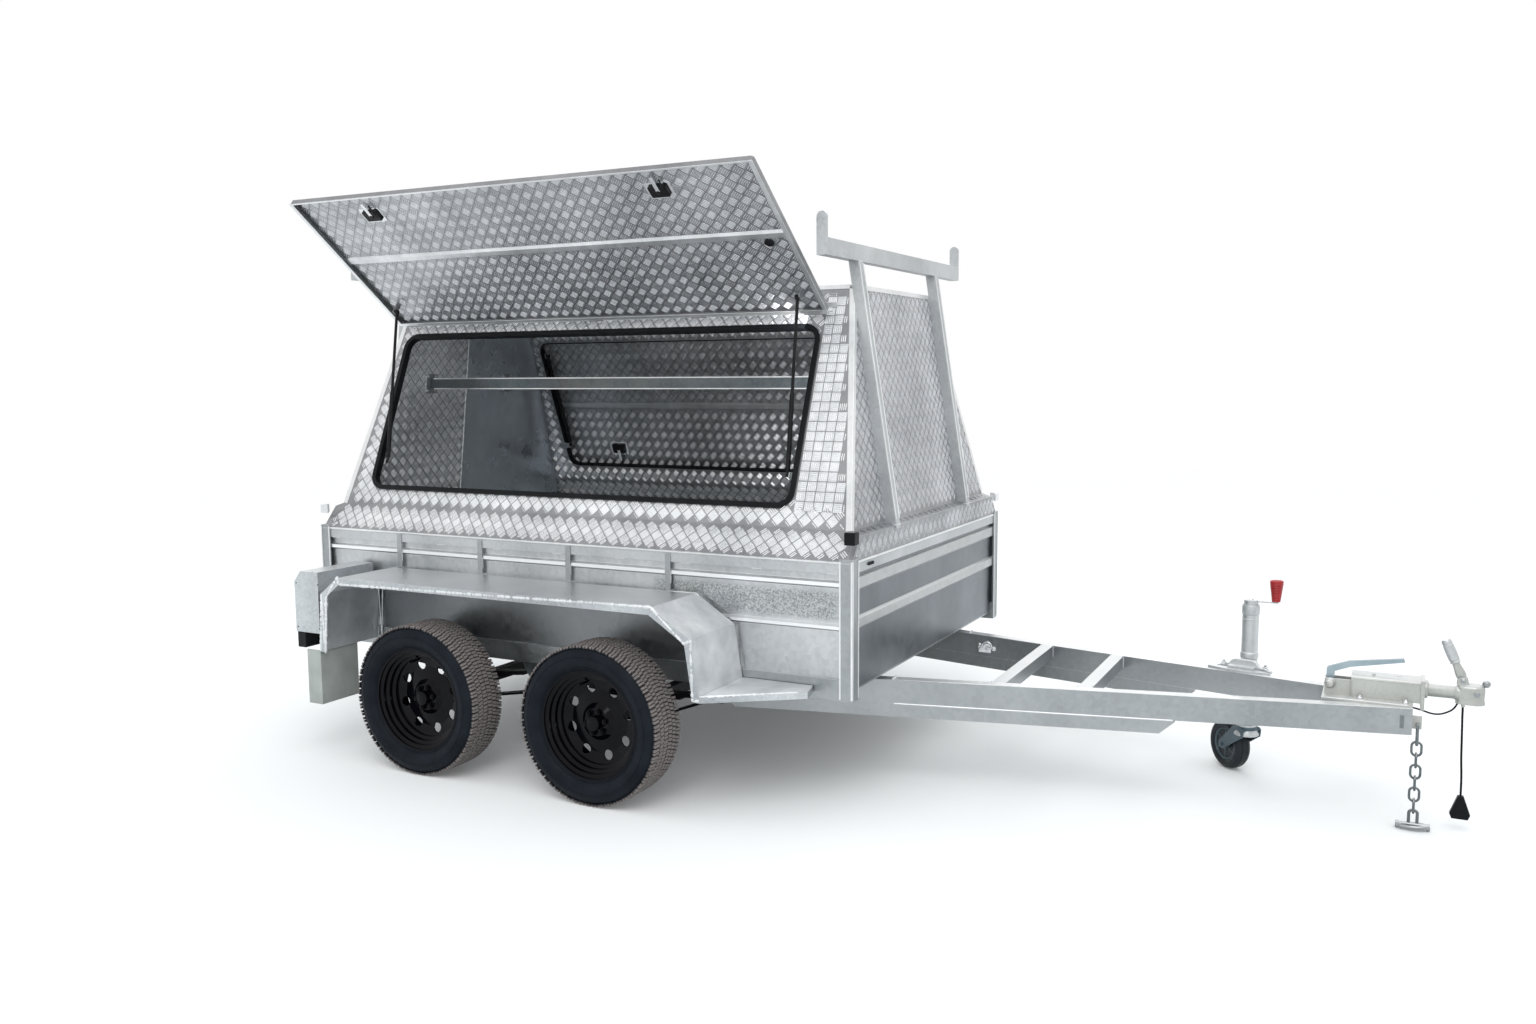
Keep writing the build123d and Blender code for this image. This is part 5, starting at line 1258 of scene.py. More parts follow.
def make_tub_details():
    """Edges, beads and slots of the tub, and welds beside its posts and under its top rails."""
    welds = Piece()
    make_post_edges(welds)
    make_top_rail_details()
    for sign in (-1, 1):
        y = sign * (SIDE_Y - 0.005)
        for x in STAKES:
            for side in (-0.0115, 0.0115):
                welds.weld(ahead(x + side, y, 0.79), ahead(x + side, y, 0.83), 0.0018)
        y = sign * (SIDE_Y - 0.006)
        for x in np.linspace(REAR_X + 0.08, FRONT_X - 0.08, 9):
            welds.weld((x - 0.02, y, 0.8695), (x + 0.02, y, 0.8695), 0.0022)
    welds.make("tub_welds", "bead", "trailer", "galvanised_steel")
    make_tailgate_details()


TAILGATE_SKIN = 0.0068
RIB_LEVELS = (0.560, 0.690, 0.820)
RIB_END_Y = 0.70
RIB = [(0.0, -0.020), (-0.006, -0.013), (-0.006, 0.013), (0.0, 0.020)]
TAILGATE_LATCH_Y = 0.735
PLATE_OUT = 0.0062
PLATE_Z, PLATE_LAMP_Z = 0.625, 0.712


def make_tailgate_details():
    """Pressed ribs, latches, a blank number plate and its lamp on the tailgate."""
    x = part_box("tailgate")[0].x + TAILGATE_SKIN
    ribs, latches, plate, lamp = Piece(), Piece(), Piece(), Piece()
    for z in RIB_LEVELS:
        ribs.skin([[(x + dx, y, z + dz) for dx, dz in RIB] for y in (-RIB_END_Y, RIB_END_Y)])
    ribs.make("tailgate_ribs", "zinc_pale", "tailgate", "galvanised_steel", bevel=0.001, smooth=0)
    for sign in (-1, 1):
        y, out = sign * TAILGATE_LATCH_Y, x - 0.009
        latches.box((x - 0.006, y - 0.022, 0.800), (x, y + 0.022, 0.850))
        latches.tube([(out, y, 0.795), (out, y, 0.858), (out, y + sign * 0.030, 0.858)], 0.005, 12)
    latches.make("tailgate_latches", "chrome", "tailgate", "galvanised_steel", bevel=0.0006)
    plate.prism(rounded(0.186, 0.048, 0.008), 0.0, 0.0022, axes((x - PLATE_OUT, 0.0, PLATE_Z), Y, -X))
    plate.make("number_plate_blank", "pale", "tailgate", "pale_plastic", bevel=0.0005)
    lamp.prism(rounded(0.045, 0.012, 0.004), 0.0, 0.008, axes((x - PLATE_OUT, 0.0, PLATE_LAMP_Z), Y, -X))
    lamp.make("plate_lamp", "black", "tailgate", "black_plastic", bevel=0.001)


# Mudguards and lamps -----------------------------------------------------------------------------


def lumpy_bead(piece, path, thin, thick, rng, steps=8):
    """Bead along a path whose radius wanders between two values."""
    piece.tube(path, rng.uniform(thin, thick, len(path)).tolist(), steps)


def make_guard_details():
    """Frosty zinc along the outer edges of guards, steps and light boxes, and weld beads at the tub."""
    low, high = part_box("mudguards")
    box_low, box_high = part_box("light_boxes")
    step_low, step_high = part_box("steps")
    outer = [v.co for v in NODES["mudguards"].data.vertices if v.co.y < low.y + 0.001]
    line = guard_line(sorted({(round(p.x, 4), round(p.z, 4)) for p in outer}, key=lambda p: -p[0]))
    rng = np.random.default_rng(7)
    frost, welds = Piece(), Piece()
    for sign in (-1, 1):
        y = sign * (high.y - 0.004)
        fine = refine([(x, y, z) for x, z in line])
        lumpy_bead(frost, [p + Z * 0.0005 for p in fine], 0.0035, 0.0082, rng)
        inner = [Vector((p.x, sign * (SIDE_Y + 0.001), p.z + 0.001)) for p in fine[::2]]
        lumpy_bead(welds, inner, 0.002, 0.0038, rng, 7)
        step = [(step_low.x, y, step_high.z), (step_high.x - 0.03, sign * (SIDE_Y + 0.11), step_high.z)]
        lumpy_bead(frost, refine(step), 0.0026, 0.0062, rng)
        corner = [(box_high.x - 0.03, y, box_high.z), (box_low.x + 0.036, y, box_high.z)]
        corner += [(box_low.x, y, box_high.z - 0.043), (box_low.x, y, box_low.z + 0.002)]
        lumpy_bead(frost, refine(corner), 0.002, 0.0045, rng)
    frost.make("guard_frost", "frost", "trailer", "galvanised_steel", smooth=60)
    welds.make("guard_welds", "bead", "trailer", "galvanised_steel", smooth=60)
    make_lamps(high.y, box_low)


LENS_PLACES = {"red": -0.052, "amber": 0.0, "clear": 0.052}


def make_lamps(guard_y, low):
    """Bezel with three lenses on each light box's rear, a lamp bar under it and rivets on its side."""
    lamp_low, lamp_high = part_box("tail_lamps")
    bezel = Piece()
    lenses = {colour: Piece() for colour in LENS_PLACES}
    for sign in (-1, 1):
        face = axes((low.x, sign * (guard_y - 0.100), low.z + 0.10), Y, -X)
        bezel.prism(rounded(0.084, 0.058, 0.008), 0.0, 0.006, face)
        for colour, shift in LENS_PLACES.items():
            spot = face @ Matrix.Translation((shift, 0, 0))
            lenses[colour].prism(rounded(0.0235, 0.050, 0.005), 0.004, 0.015, spot)
        bar = axes((lamp_low.x, sign * (guard_y - 0.102), (lamp_low.z + lamp_high.z) / 2), Y, -X)
        lenses["red"].prism(rounded(0.082, 0.024, 0.005), 0.0, 0.007, bar)
        for dx in (0.01, 0.13):
            for dz in (0.02, 0.20):
                spot = (low.x + dx, sign * (guard_y - 0.0002), low.z + dz)
                bezel.rivet(axes(spot, X, Y * sign), 0.0035)
    bezel.make("lamp_bezels", "black", "trailer", "black_plastic", bevel=0.001)
    for colour, piece in lenses.items():
        piece.make("lenses_" + colour, "lamp_" + colour, "trailer", "lamp_lens", bevel=0.0012)


def guard_line(edge):
    """Top outline of the guard from its profile points: highest point of each place along x."""
    tops = {}
    for x, z in edge:
        key = round(x, 2)
        tops[key] = max(tops.get(key, (x, -1.0)), (x, z), key=lambda p: p[1])
    return [tops[key] for key in sorted(tops, reverse=True)]


LUMP_PITCH = 0.006


def refine(points):
    """Points along straight runs, about one pitch apart."""
    points = [Vector(p) for p in points]
    fine = [points[0]]
    for start, end in zip(points, points[1:]):
        count = max(1, round((end - start).length / LUMP_PITCH))
        fine += [start.lerp(end, step / count) for step in range(1, count + 1)]
    return fine


# Ladder racks ------------------------------------------------------------------------------------


RACK_Y = 0.394
RACK_FAR_Y = 0.434
RACK_EDGE = 0.0065
RACK_FOOT, RACK_HEAD = 1.000, 1.967


def make_rack_details():
    """Raised edges that make the posts read as channel, with foot and head welds."""
    edges, welds = Piece(), Piece()
    for end in (1, -1):
        wall = plane_of("ladder_racks", lambda n: n[0] * end > 0.5 and n[2] > 0.02)
        foot, head = on_wall(wall, 0.0, RACK_FOOT).x, on_wall(wall, 0.0, RACK_HEAD).x
        for sign in (-1, 1):
            for y in (RACK_Y, RACK_FAR_Y - RACK_EDGE):
                y0, y1 = sign * y, sign * (y + RACK_EDGE)
                section = ((y0, -0.001), (y1, -0.001), (y1, 0.0030), (y0, 0.0030))
                edges.skin([[on_wall(wall, side, z, out) for side, out in section] for z in (1.02, 1.962)])
            near, far = sign * RACK_Y, sign * RACK_FAR_Y
            for y in (near, far):
                welds.weld((foot - end * 0.030, y, 0.997), (foot + end * 0.002, y, 0.997))
            welds.weld((foot + end * 0.001, near, 0.998), (foot + end * 0.001, far, 0.998))
            welds.weld((head - end * 0.001, near, RACK_HEAD), (head - end * 0.001, far, RACK_HEAD), 0.0028)
    edges.make("rack_post_edges", "aluminium", "trailer", "plain_aluminium", bevel=0.0008, smooth=0)
    welds.make("rack_welds", "bead", "trailer", "plain_aluminium")


# Drawbar -----------------------------------------------------------------------------------------


RAIL_ROOT_Y, RAIL_TIP_Y = 0.4840, 0.1020
RAIL_REACH = 1.723


def rail_y(x):
    """Outer side of a drawbar rail at a place ahead of the tub."""
    return RAIL_ROOT_Y - (RAIL_ROOT_Y - RAIL_TIP_Y) * x / RAIL_REACH


RAIL_CAP = [(0.0, -0.0015), (0.004, 0.0012), (0.046, 0.0012), (0.0515, -0.0015)]
U_BOLT_X, U_BOLT_Z, U_BOLT_RADIUS = 0.095, 0.381, 0.022
CROSS_WELDS = (0.345, 0.395, 0.645, 0.695)
PLATE_WELD_Y = 0.094


def make_u_bolt():
    """U-bolt with a plate and three nuts on the left rail's inner side, just ahead of the tub."""
    bolts = Piece()
    y = rail_y(0.09) - 0.0525
    bow = []
    for step in range(13):
        angle = pi * step / 12
        x, z = U_BOLT_X + U_BOLT_RADIUS * cos(angle), U_BOLT_Z + U_BOLT_RADIUS * sin(angle)
        bow.append(ahead(x, y - 0.020, z))
    feet = [(bow[index][0], y, bow[index][2]) for index in (0, -1)]
    bolts.tube([feet[0], *bow, feet[1]], 0.0045, 10)
    for dx in (-0.030, 0.0, 0.028):
        bolts.nut(axes(ahead(U_BOLT_X + dx, y, 0.372), X, -Y), 0.019, 0.010, 0.005, 0.008)
    bolts.box(ahead(0.055, y - 0.003, 0.352), ahead(0.140, y, 0.392))
    bolts.make("drawbar_u_bolt", "chrome", "trailer", "galvanised_steel", bevel=0.0006)


def make_drawbar_details():
    """Raised top faces, lower edges, end slots and welds of the drawbar's two rails."""
    welds, slots, edges = Piece(), Piece(), Piece()
    for sign in (-1, 1):
        caps = []
        for x in (0.004, 1.722):
            y = rail_y(x)
            caps.append([ahead(x, sign * (y - inset), DRAWBAR_TOP + rise) for inset, rise in RAIL_CAP])
        edges.skin(caps)
        for x in CROSS_WELDS:
            y = sign * (rail_y(x) - 0.0520)
            welds.weld(ahead(x, y, 0.376), ahead(x, y, 0.424))
            welds.weld(ahead(x, y, 0.4245), ahead(x - 0.002, y - sign * 0.012, 0.4245), 0.0025)
        edges.tube([ahead(x, sign * (rail_y(x) - 0.0010), 0.334) for x in (0.01, 0.975)], 0.0034, 8)
        root = sign * rail_y(0)
        welds.weld(ahead(0.003, root - sign * 0.048, 0.4265), ahead(0.003, root, 0.4265), 0.004)
        # Dark zinc in each end slot: painted shade of the opening.
        spot = ahead(1.692, sign * (rail_y(1.692) + 0.0005), 0.379)
        slots.prism(rounded(0.0065, 0.023, 0.004), -0.002, 0.0012, axes(spot, X, (0.216, sign * 0.976, 0)))
    edges.make("drawbar_top_faces", "aluminium", "trailer", "galvanised_steel", bevel=0.0008, smooth=0)
    make_u_bolt()
    slots.make("rail_end_slot_shade", "zinc_dark", "trailer", "galvanised_steel", bevel=0.0008)
    for y in (-PLATE_WELD_Y, PLATE_WELD_Y):
        welds.weld(ahead(1.455, y, 0.4325), ahead(1.71, y, 0.4325))
    welds.make("drawbar_welds", "bead", "trailer", "galvanised_steel")
    make_chain_details()


def make_chain_details():
    """Shackle that lies flat at the chain's foot, with its cross pin."""
    shackle = Piece()
    x, y, z = ahead(1.740, -0.077, 0.014)
    bow = [(x + 0.046 * a, y + 0.021 * b, z + 0.003 * a) for a, b in circle(1.0, 24)]
    shackle.tube(bow, 0.0062, 10, loop=True)
    for eye in (x - 0.047, x + 0.047):
        shackle.lathe([(0.0115, -0.006), (0.0125, 0.0), (0.0115, 0.006)], axes((eye, y, z), Y, X), 16)
    shackle.lathe([(0.0062, -0.052), (0.0062, 0.052)], axes((x, y - 0.006, z + 0.006), Y, X), 14)
    shackle.make("chain_foot_shackle", "zinc", "trailer", "galvanised_steel", smooth=50)


# Struts ------------------------------------------------------------------------------------------


def make_strut_rod(rods, points):
    """Rod between the two ends of one CAD rod's points, with a ball at the end that is thicker."""
    middle = points.mean(axis=0)
    way = np.linalg.svd(points - middle, full_matrices=False)[2][0]
    far = (points - middle) @ way
    start, end = (Vector(middle + way * reach) for reach in (far.min(), far.max()))
    rods.tube([start, end], STRUT_ROD_RADIUS, 14)
    tip = points[np.abs(far - far.max()) < 0.012]
    if np.ptp(tip, axis=0).max() <= 0.012:
        start, end = end, start
    ball = end.lerp(start, 0.02)
    rods.lathe([(0.009, -0.008), (0.0105, 0.0), (0.009, 0.008)], axes(ball, Z, X), 16)


def make_strut_rods():
    """Black rods of the gas struts, two to a side."""
    for side in ("right", "left"):
        node = "strut_rods_" + side
        points = np.array([v.co for v in NODES[node].data.vertices])
        behind = points[:, 0] < points[:, 0].mean()
        rods = Piece()
        make_strut_rod(rods, points[behind])
        make_strut_rod(rods, points[~behind])
        rods.make(node + "_black", "black", node, "bright_rod", smooth=40, replaces=[node])


# Coupling ----------------------------------------------------------------------------------------

COUPLING_Z = 0.474
BALL_X = FRONT_X + 1.905
RELEASE_PIVOT = Vector((BALL_X - 0.036, 0.0, COUPLING_Z + 0.044))
RELEASE_TIP = Vector(ahead(1.814, 0.0, RELEASE_PIVOT.z + 0.126))
BRAKE_PIVOT = Vector(ahead(1.464, 0.0, 0.470))
HEAD_STEPS = 48
HEAD_SHELL = [(0.5050, 0.40), (0.5045, 0.66), (0.5020, 0.84), (0.4970, 0.95), (0.4900, 1.0), (0.4720, 1.0)]
HEAD_SHELL += [(0.4660, 0.965), (0.4540, 0.965), (0.4480, 1.01), (0.4420, 1.05), (0.4385, 1.04)]
HEAD_SOCKET = [(0.4385, 0.0275), (0.4400, 0.0256), (0.4740, 0.0256), (0.4800, 0.018)]
NECK = [(0.0238, -0.262), (0.0238, -0.062), (0.0262, -0.058)]
NECK += [(0.0285, -0.052), (0.0290, -0.046), (0.0270, -0.034)]
EAR = [(-0.018, -0.018), (0.020, -0.018), (0.015, 0.004), (0.008, 0.0105), (-0.008, 0.0105), (-0.015, 0.004)]
GLAND = [(0.0052, 0.0), (0.0060, 0.0015), (0.0060, 0.0100), (0.0072, 0.0112)]
FOOT_BOLTS = (1.560, 1.700)
COVER_RIVETS = (1.600, 1.680)
COLLAR = [(0.0250, 0.0), (0.0310, 0.0), (0.0315, 0.006), (0.0290, 0.0095), (0.0252, 0.010)]
BOSS = [(0.019, 0.0), (0.019, 0.006), (0.0145, 0.009), (0.0135, 0.020), (0.010, 0.026), (0.0, 0.028)]
LEVER = [
    (-0.009, 0.0060, 0.0050, 2.2),
    (-0.005, 0.0070, 0.0105, 2.4),
    (0.008, 0.0070, 0.0140, 2.6),
    (0.016, 0.0078, 0.0165, 2.8),
    (0.030, 0.0100, 0.0150, 2.8),
    (0.050, 0.0105, 0.0125, 2.6),
    (0.064, 0.0110, 0.0115, 2.2),
]
GRIP = [(0.0120, 0.060), (0.0160, 0.062), (0.0165, 0.067), (0.0150, 0.068), (0.0150, 0.071), (0.0168, 0.072)]
GRIP += [(0.0175, 0.100), (0.0168, 0.126), (0.0152, 0.127), (0.0152, 0.130), (0.0165, 0.131), (0.0155, 0.140)]
GRIP += [(0.0130, 0.1445), (0.0070, 0.146), (0.0, 0.1465)]


OVAL_STEPS = 32


def oval(half_x, half_y, power):
    """Superellipse outline: round at power 2, boxy above it."""
    points = []
    for c, s in circle(1.0, OVAL_STEPS, 0.5):
        size = (abs(c / half_x) ** power + abs(s / half_y) ** power) ** (-1 / power)
        points.append((size * c, size * s))
    return points


def loft(piece, sections, place=HERE):
    """Skin through superellipse sections, each as (height, half x, half y, power)."""
    rings = [[(x, y, height) for x, y in oval(*size)] for height, *size in sections]
    piece.skin(rings, place=place)


def head_outline(size):
    """Plan of the cast head: round about the ball in front, boxy behind it."""
    points = []
    for c, s in circle(1.0, HEAD_STEPS, 0.5):
        length, power = (0.031, 2.0) if c > 0 else (0.054, 4.0)
        reach = size * (abs(c / length) ** power + abs(s / 0.031) ** power) ** (-1 / power)
        points.append((reach * c, reach * s))
    return points


def make_coupling_head():
    """Cast head with its ball socket, neck, ears for the release handle and gland for the lead."""
    head = Piece()
    rings = [[(BALL_X + x, y, z) for x, y in head_outline(size)] for z, size in HEAD_SHELL]
    rings += [[(BALL_X + x, y, z) for x, y in circle(radius, HEAD_STEPS, 0.5)] for z, radius in HEAD_SOCKET]
    head.skin(rings)
    head.lathe(NECK, axes((BALL_X, 0, COUPLING_Z), Y, X), 36)
    for sign in (-1, 1):
        head.prism(EAR, -0.0040, 0.0040, axes(RELEASE_PIVOT + Y * sign * 0.0155, X, -Y))
    head.lathe(GLAND, axes(ahead(*LEAD_ROUTE[0]), X, Z), 20)
    head.make("coupling_cast_head", "cream", "coupling_head", "cast_coupling", 0.0012, 50, ["coupling_head"])


def make_coupling_knob():
    """Bright parts of the head: pivot nuts, ball knob on its stem and a button on the right side."""
    bright = Piece()
    for sign in (-1, 1):
        bright.nut(axes(RELEASE_PIVOT + Y * sign * 0.0195, X, Y * sign), 0.013, 0.006, 0.004, 0.003)
    ball = Vector(ahead(1.938, 0.0, 0.510))
    bright.tube([ball + Vector((-0.018, 0, -0.014)), ball], 0.006, 14)
    dome = [(0.0128 * sin(a), -0.0128 * cos(a)) for a in np.linspace(0.15, pi - 0.02, 14)]
    bright.lathe(dome, axes(ball, X, Z), 24)
    button = axes((BALL_X + 0.006, -0.0305, 0.478), X, -Y)
    bright.lathe([(0.0095, 0.0), (0.0095, 0.004), (0.006, 0.0055)], button, 18)
    bright.make("coupling_knob", "zinc", "coupling_head", "bright_rod", smooth=45)


def make_coupling_body():
    """Collar, brake bosses, feet and raised edges of the fixed casting, and its bolts."""
    body, bolts = Piece(), Piece()
    body.lathe(COLLAR, axes(ahead(1.7565, 0, COUPLING_Z), Y, X), 36, caps=False)
    for sign in (-1, 1):
        body.lathe(BOSS, axes(BRAKE_PIVOT + Y * sign * 0.030, X, Y * sign), 26)
        for x in FOOT_BOLTS:
            bolts.nut(axes(ahead(x, sign * 0.070, 0.4320), X, Z), 0.019, 0.010, 0.0055, 0.006)
            body.box(ahead(x - 0.020, sign * 0.046, 0.4318), ahead(x + 0.020, sign * 0.086, 0.4345))
        body.tube([ahead(1.533, sign * 0.0478, z) for z in (0.436, 0.498)], 0.0022, 8)
        body.box(ahead(1.540, sign * 0.0470, 0.4960), ahead(1.742, sign * 0.0500, 0.4995))
    for x in COVER_RIVETS:
        bolts.rivet(axes(ahead(x, 0.0, 0.5078), X, Z), 0.007)
    body.tube([ahead(1.60, -0.020, z) for z in (0.5078, 0.512, 0.5145)], 0.0045, 12)
    body.make("coupling_casting_marks", "cream", "trailer", "cast_coupling", bevel=0.0008, smooth=50)
    bolts.make("coupling_bolts", "chrome", "trailer", "galvanised_steel", bevel=0.0004)


def make_coupling_details():
    """Head, its bright parts, release handle and fixed casting."""
    make_coupling_head()
    make_coupling_knob()
    make_release_handle()
    make_coupling_body()


def make_release_handle():
    """Flat cast lever that narrows into a bright ringed grip."""
    place = axes(RELEASE_PIVOT, Y, RELEASE_TIP - RELEASE_PIVOT)
    lever, grip = Piece(), Piece()
    body = "coupling_handle"
    loft(lever, LEVER, place)
    lever.make("release_lever", "cream", body, "cast_coupling", bevel=0.0004, smooth=50, replaces=[body])
    grip.lathe(GRIP, place, 30)
    grip.make("release_grip", "zinc_pale", body, "plain_aluminium", bevel=0.0004, smooth=50)


# Jockey wheel ------------------------------------------------------------------------------------


TUBE_COLLARS = [
    [(0.0300, 0.632), (0.0322, 0.635), (0.0322, 0.662), (0.0310, 0.667), (0.0295, 0.671), (0.024, 0.6725)],
    [(0.0300, 0.612), (0.0312, 0.613), (0.0312, 0.617), (0.0300, 0.618)],
    [(0.0300, 0.462), (0.0330, 0.464), (0.0335, 0.480), (0.0318, 0.486), (0.0300, 0.488)],
]
FORK_CUP = [(0.0345, 0.1945), (0.0365, 0.190), (0.040, 0.182)]
FORK_CUP += [(0.0455, 0.170), (0.0465, 0.163), (0.044, 0.160)]
CRANK_BOSS = [(0.0095, 0.6868), (0.0095, 0.6900), (0.0070, 0.6915), (0.0, 0.692)]
GRIP_RINGS = 7


def upright(node):
    """Frame on the ground under the middle of a CAD node."""
    low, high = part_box(node)
    return Matrix.Translation(((low.x + high.x) / 2, (low.y + high.y) / 2, 0.0))


def make_turned(name, profiles, place, steps, looks, smooth=40.0, replaces=()):
    """Piece turned from profiles; looks are its material, body and slot."""
    piece = Piece()
    for profile in profiles:
        piece.lathe(profile, place, steps)
    piece.make(name, *looks, smooth=smooth, replaces=replaces)


def grip_profile(low, high):
    """Grip that widens upward in rings, as (radius, height)."""
    profile = [(0.0115, low), (0.0145, low + 0.001), (0.0165, low + 0.004)]
    for ring in range(GRIP_RINGS):
        base = low + 0.007 + ring * 0.0093
        radius = 0.0168 + 0.0012 * ring
        profile += [(radius - 0.0016, base), (radius, base + 0.0022)]
        profile += [(radius + 0.0004, base + 0.0064), (radius - 0.0012, base + 0.0086)]
    profile += [(0.0248, high - 0.0085), (0.0240, high - 0.004), (0.0195, high - 0.001)]
    return profile + [(0.010, high), (0.0, high)]


def make_jockey_clamp(middle):
    """Clamp plate behind the jockey tube, with its bolts."""
    swing = JOINTS["jockey_swing"]
    out = Vector(swing["axis"])
    if out.y < 0:
        out.negate()
    plate = axes(middle + Z * swing["pos_m"][2], out.cross(Z), out)
    up = 1 if (plate.to_3x3() @ Y).z > 0 else -1
    clamp, nuts = Piece(), Piece()
    half = [(0.104, 0.005), (0.100, 0.014), (0.056, 0.026), (0.046, 0.040), (0.030, 0.046)]
    outline = [(x, up * y) for x, y in half + [(-x, y) for x, y in reversed(half)]]
    clamp.prism(outline[::up], -0.060, -0.0415, plate)
    clamp.make("jockey_clamp_plate", "zinc_pale", "trailer", "galvanised_steel", bevel=0.003)
    for x in (-0.078, 0.078):
        nuts.nut(plate @ Matrix.Translation((x, up * 0.010, -0.0415)), 0.016, 0.006, 0.004, 0.001)
        nuts.nut(axes(plate @ Vector((x, up * 0.0175, -0.051)), X, Z), 0.017, 0.010, 0.005, 0.008)
    nuts.make("jockey_bracket_bolts", "chrome", "trailer", "galvanised_steel", bevel=0.0004)


def make_jockey_details():
    """Collars, fork cup, ribbed grip and crank boss, the wheel and the clamp."""
    leg, steel = upright("jockey_leg"), "galvanised_steel"
    make_turned("jockey_tube_collars", TUBE_COLLARS, leg, 36, ("zinc_pale", "jockey_tube", steel))
    make_turned("jockey_fork_cup", [FORK_CUP], leg, 36, ("zinc_pale", "jockey_fork", steel))
    node = "jockey_grip"
    low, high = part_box(node)
    looks = ("red", "jockey_crank", "red_grip")
    profile = grip_profile(low.z, high.z)
    make_turned("jockey_grip_ribbed", [profile], upright(node), 36, looks, 50, [node])
    make_turned("jockey_crank_boss", [CRANK_BOSS], leg, 20, ("chrome", "jockey_crank", steel))
    make_jockey_wheel()
    make_jockey_clamp(leg.translation)


JOCKEY_TREAD = [(0.0985, 0.0), (0.0980, 0.010), (0.0962, 0.0105), (0.0962, 0.0125), (0.0975, 0.013)]
JOCKEY_TREAD += [(0.0955, 0.020), (0.0905, 0.027), (0.0830, 0.0305), (0.0790, 0.0305), (0.0785, 0.0292)]
JOCKEY_TREAD += [(0.0765, 0.0292), (0.0760, 0.0303), (0.0680, 0.0295), (0.0640, 0.0255), (0.0620, 0.0200)]
JOCKEY_DISH = [(0.0630, 0.0), (0.0630, 0.0255), (0.0600, 0.0265), (0.0570, 0.0240), (0.0540, 0.0150)]
JOCKEY_DISH += [(0.0300, 0.0130), (0.0270, 0.0160), (0.0220, 0.0285), (0.0180, 0.0300), (0.0, 0.0302)]
JOCKEY_RING = [(0.0415, 0.0148), (0.0420, 0.0172), (0.0440, 0.0172), (0.0445, 0.0150)]
JOCKEY_RIB = [(0.022, -0.0028), (0.0565, -0.0022), (0.0565, 0.0022), (0.022, 0.0028)]
JOCKEY_TRIM = 0.994


def make_jockey_wheel():
    """Solid tyre with shoulder grooves on a dished hub with ribs and a cap."""
    low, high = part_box("jockey_wheel")
    axle = Vector(JOINTS["jockey_wheel_spin"]["axis"]).normalized()
    tyre, hub = Piece(), Piece()
    half = [(radius * JOCKEY_TRIM, out) for radius, out in JOCKEY_TREAD]
    tyre.lathe([(r, -out) for r, out in reversed(half[1:])] + half, axes((0, 0, 0), Z, axle), 64)
    for side in (-1, 1):
        face = axes((0, 0, 0), Z, axle * side)
        hub.lathe(JOCKEY_DISH, face, 48, caps=False)
        for rib in range(6):
            hub.prism(JOCKEY_RIB, 0.012, 0.0215, face @ Matrix.Rotation(2 * pi * rib / 6, 4, "Z"))
        hub.lathe(JOCKEY_RING, face, 48, caps=False)
    for piece in (tyre, hub):
        piece.move(Matrix.Translation((low + high) / 2))
    body = "jockey_wheel"
    tyre.make("jockey_tyre", "wheel_rubber", body, "black_plastic", smooth=40, replaces=[body])
    hub.make("jockey_hub", "wheel_hub", body, "black_plastic", bevel=0.0006)


# Running gear ------------------------------------------------------------------------------------


SPRING_INSET = 0.030
CLAMP_HALF_X, CLAMP_HALF_Y = 0.032, 0.034
CLAMP_RADIUS = 0.005


def make_running_gear():
    """Two U-bolts with nuts and a plate that hold each spring to its axle."""
    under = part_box("axles")[0].z
    spring_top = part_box("leaf_springs")[1]
    top = spring_top.z - 0.020
    clamps = Piece()
    for suffix in ("rf", "rr"):
        low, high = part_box("tyre_" + suffix)
        x = (low.x + high.x) / 2
        for sign in (-1, 1):
            y = sign * (spring_top.y - SPRING_INSET)
            near, far = y - CLAMP_HALF_Y, y + CLAMP_HALF_Y
            for leg_x in (x - CLAMP_HALF_X, x + CLAMP_HALF_X):
                for leg_y in (near, far):
                    clamps.tube([(leg_x, leg_y, under - 0.016), (leg_x, leg_y, top)], CLAMP_RADIUS)
                    clamps.nut(axes((leg_x, leg_y, under - 0.010), X, -Z), 0.017, 0.009, 0.0045, 0.005)
                clamps.tube([(leg_x, near, top), (leg_x, far, top)], CLAMP_RADIUS)
            clamps.box((x - 0.045, y - 0.046, under - 0.010), (x + 0.045, y + 0.046, under - 0.002))
    clamps.make("spring_u_bolts", "zinc_dark", "trailer", "galvanised_steel", bevel=0.0006)


# Carried-over CAD nodes --------------------------------------------------------------------------

NODES_BY_MATERIAL = {
    "tread": "canopy",
    "door_plate": "door_right door_left",
    "rubber": "door_seals corner_caps lead",
    "aluminium": "door_hinges",
    "zinc_inner": "inner_bar",
    "zinc": "tub side_posts strut_anchors chassis cross_members drawbar tailgate",
    "zinc_side": "tub_sides",
    "zinc_panel": "tub_front_panel",
    "zinc_dark": "tub_floor spring_hangers safety_chain",
    "zinc_pale": "top_rails ladder_racks coupling_handle jockey",
    "black": "strut_tubes strut_rods axles leaf_springs radius_rods tail_lamps",
    "rim": "rim",
    "tyre": "tyre",
    "pale": "mudflaps",
    "zinc_rough": "mudguards steps light_boxes",
    "cream": "coupling",
    "blue": "brake_lever",
    "wheel_hub": "jockey_fork",
    "wheel_rubber": "jockey_wheel",
    "red": "jockey_grip",
}


def dress_nodes():
    """Gives every CAD node its material: the longest matching start of its name wins."""
    starts = {start: kind for kind, words in NODES_BY_MATERIAL.items() for start in words.split()}
    for name, node in NODES.items():
        start = max((start for start in starts if name.startswith(start)), key=len)
        node.data.materials.clear()
        node.data.materials.append(MATERIALS[starts[start]])


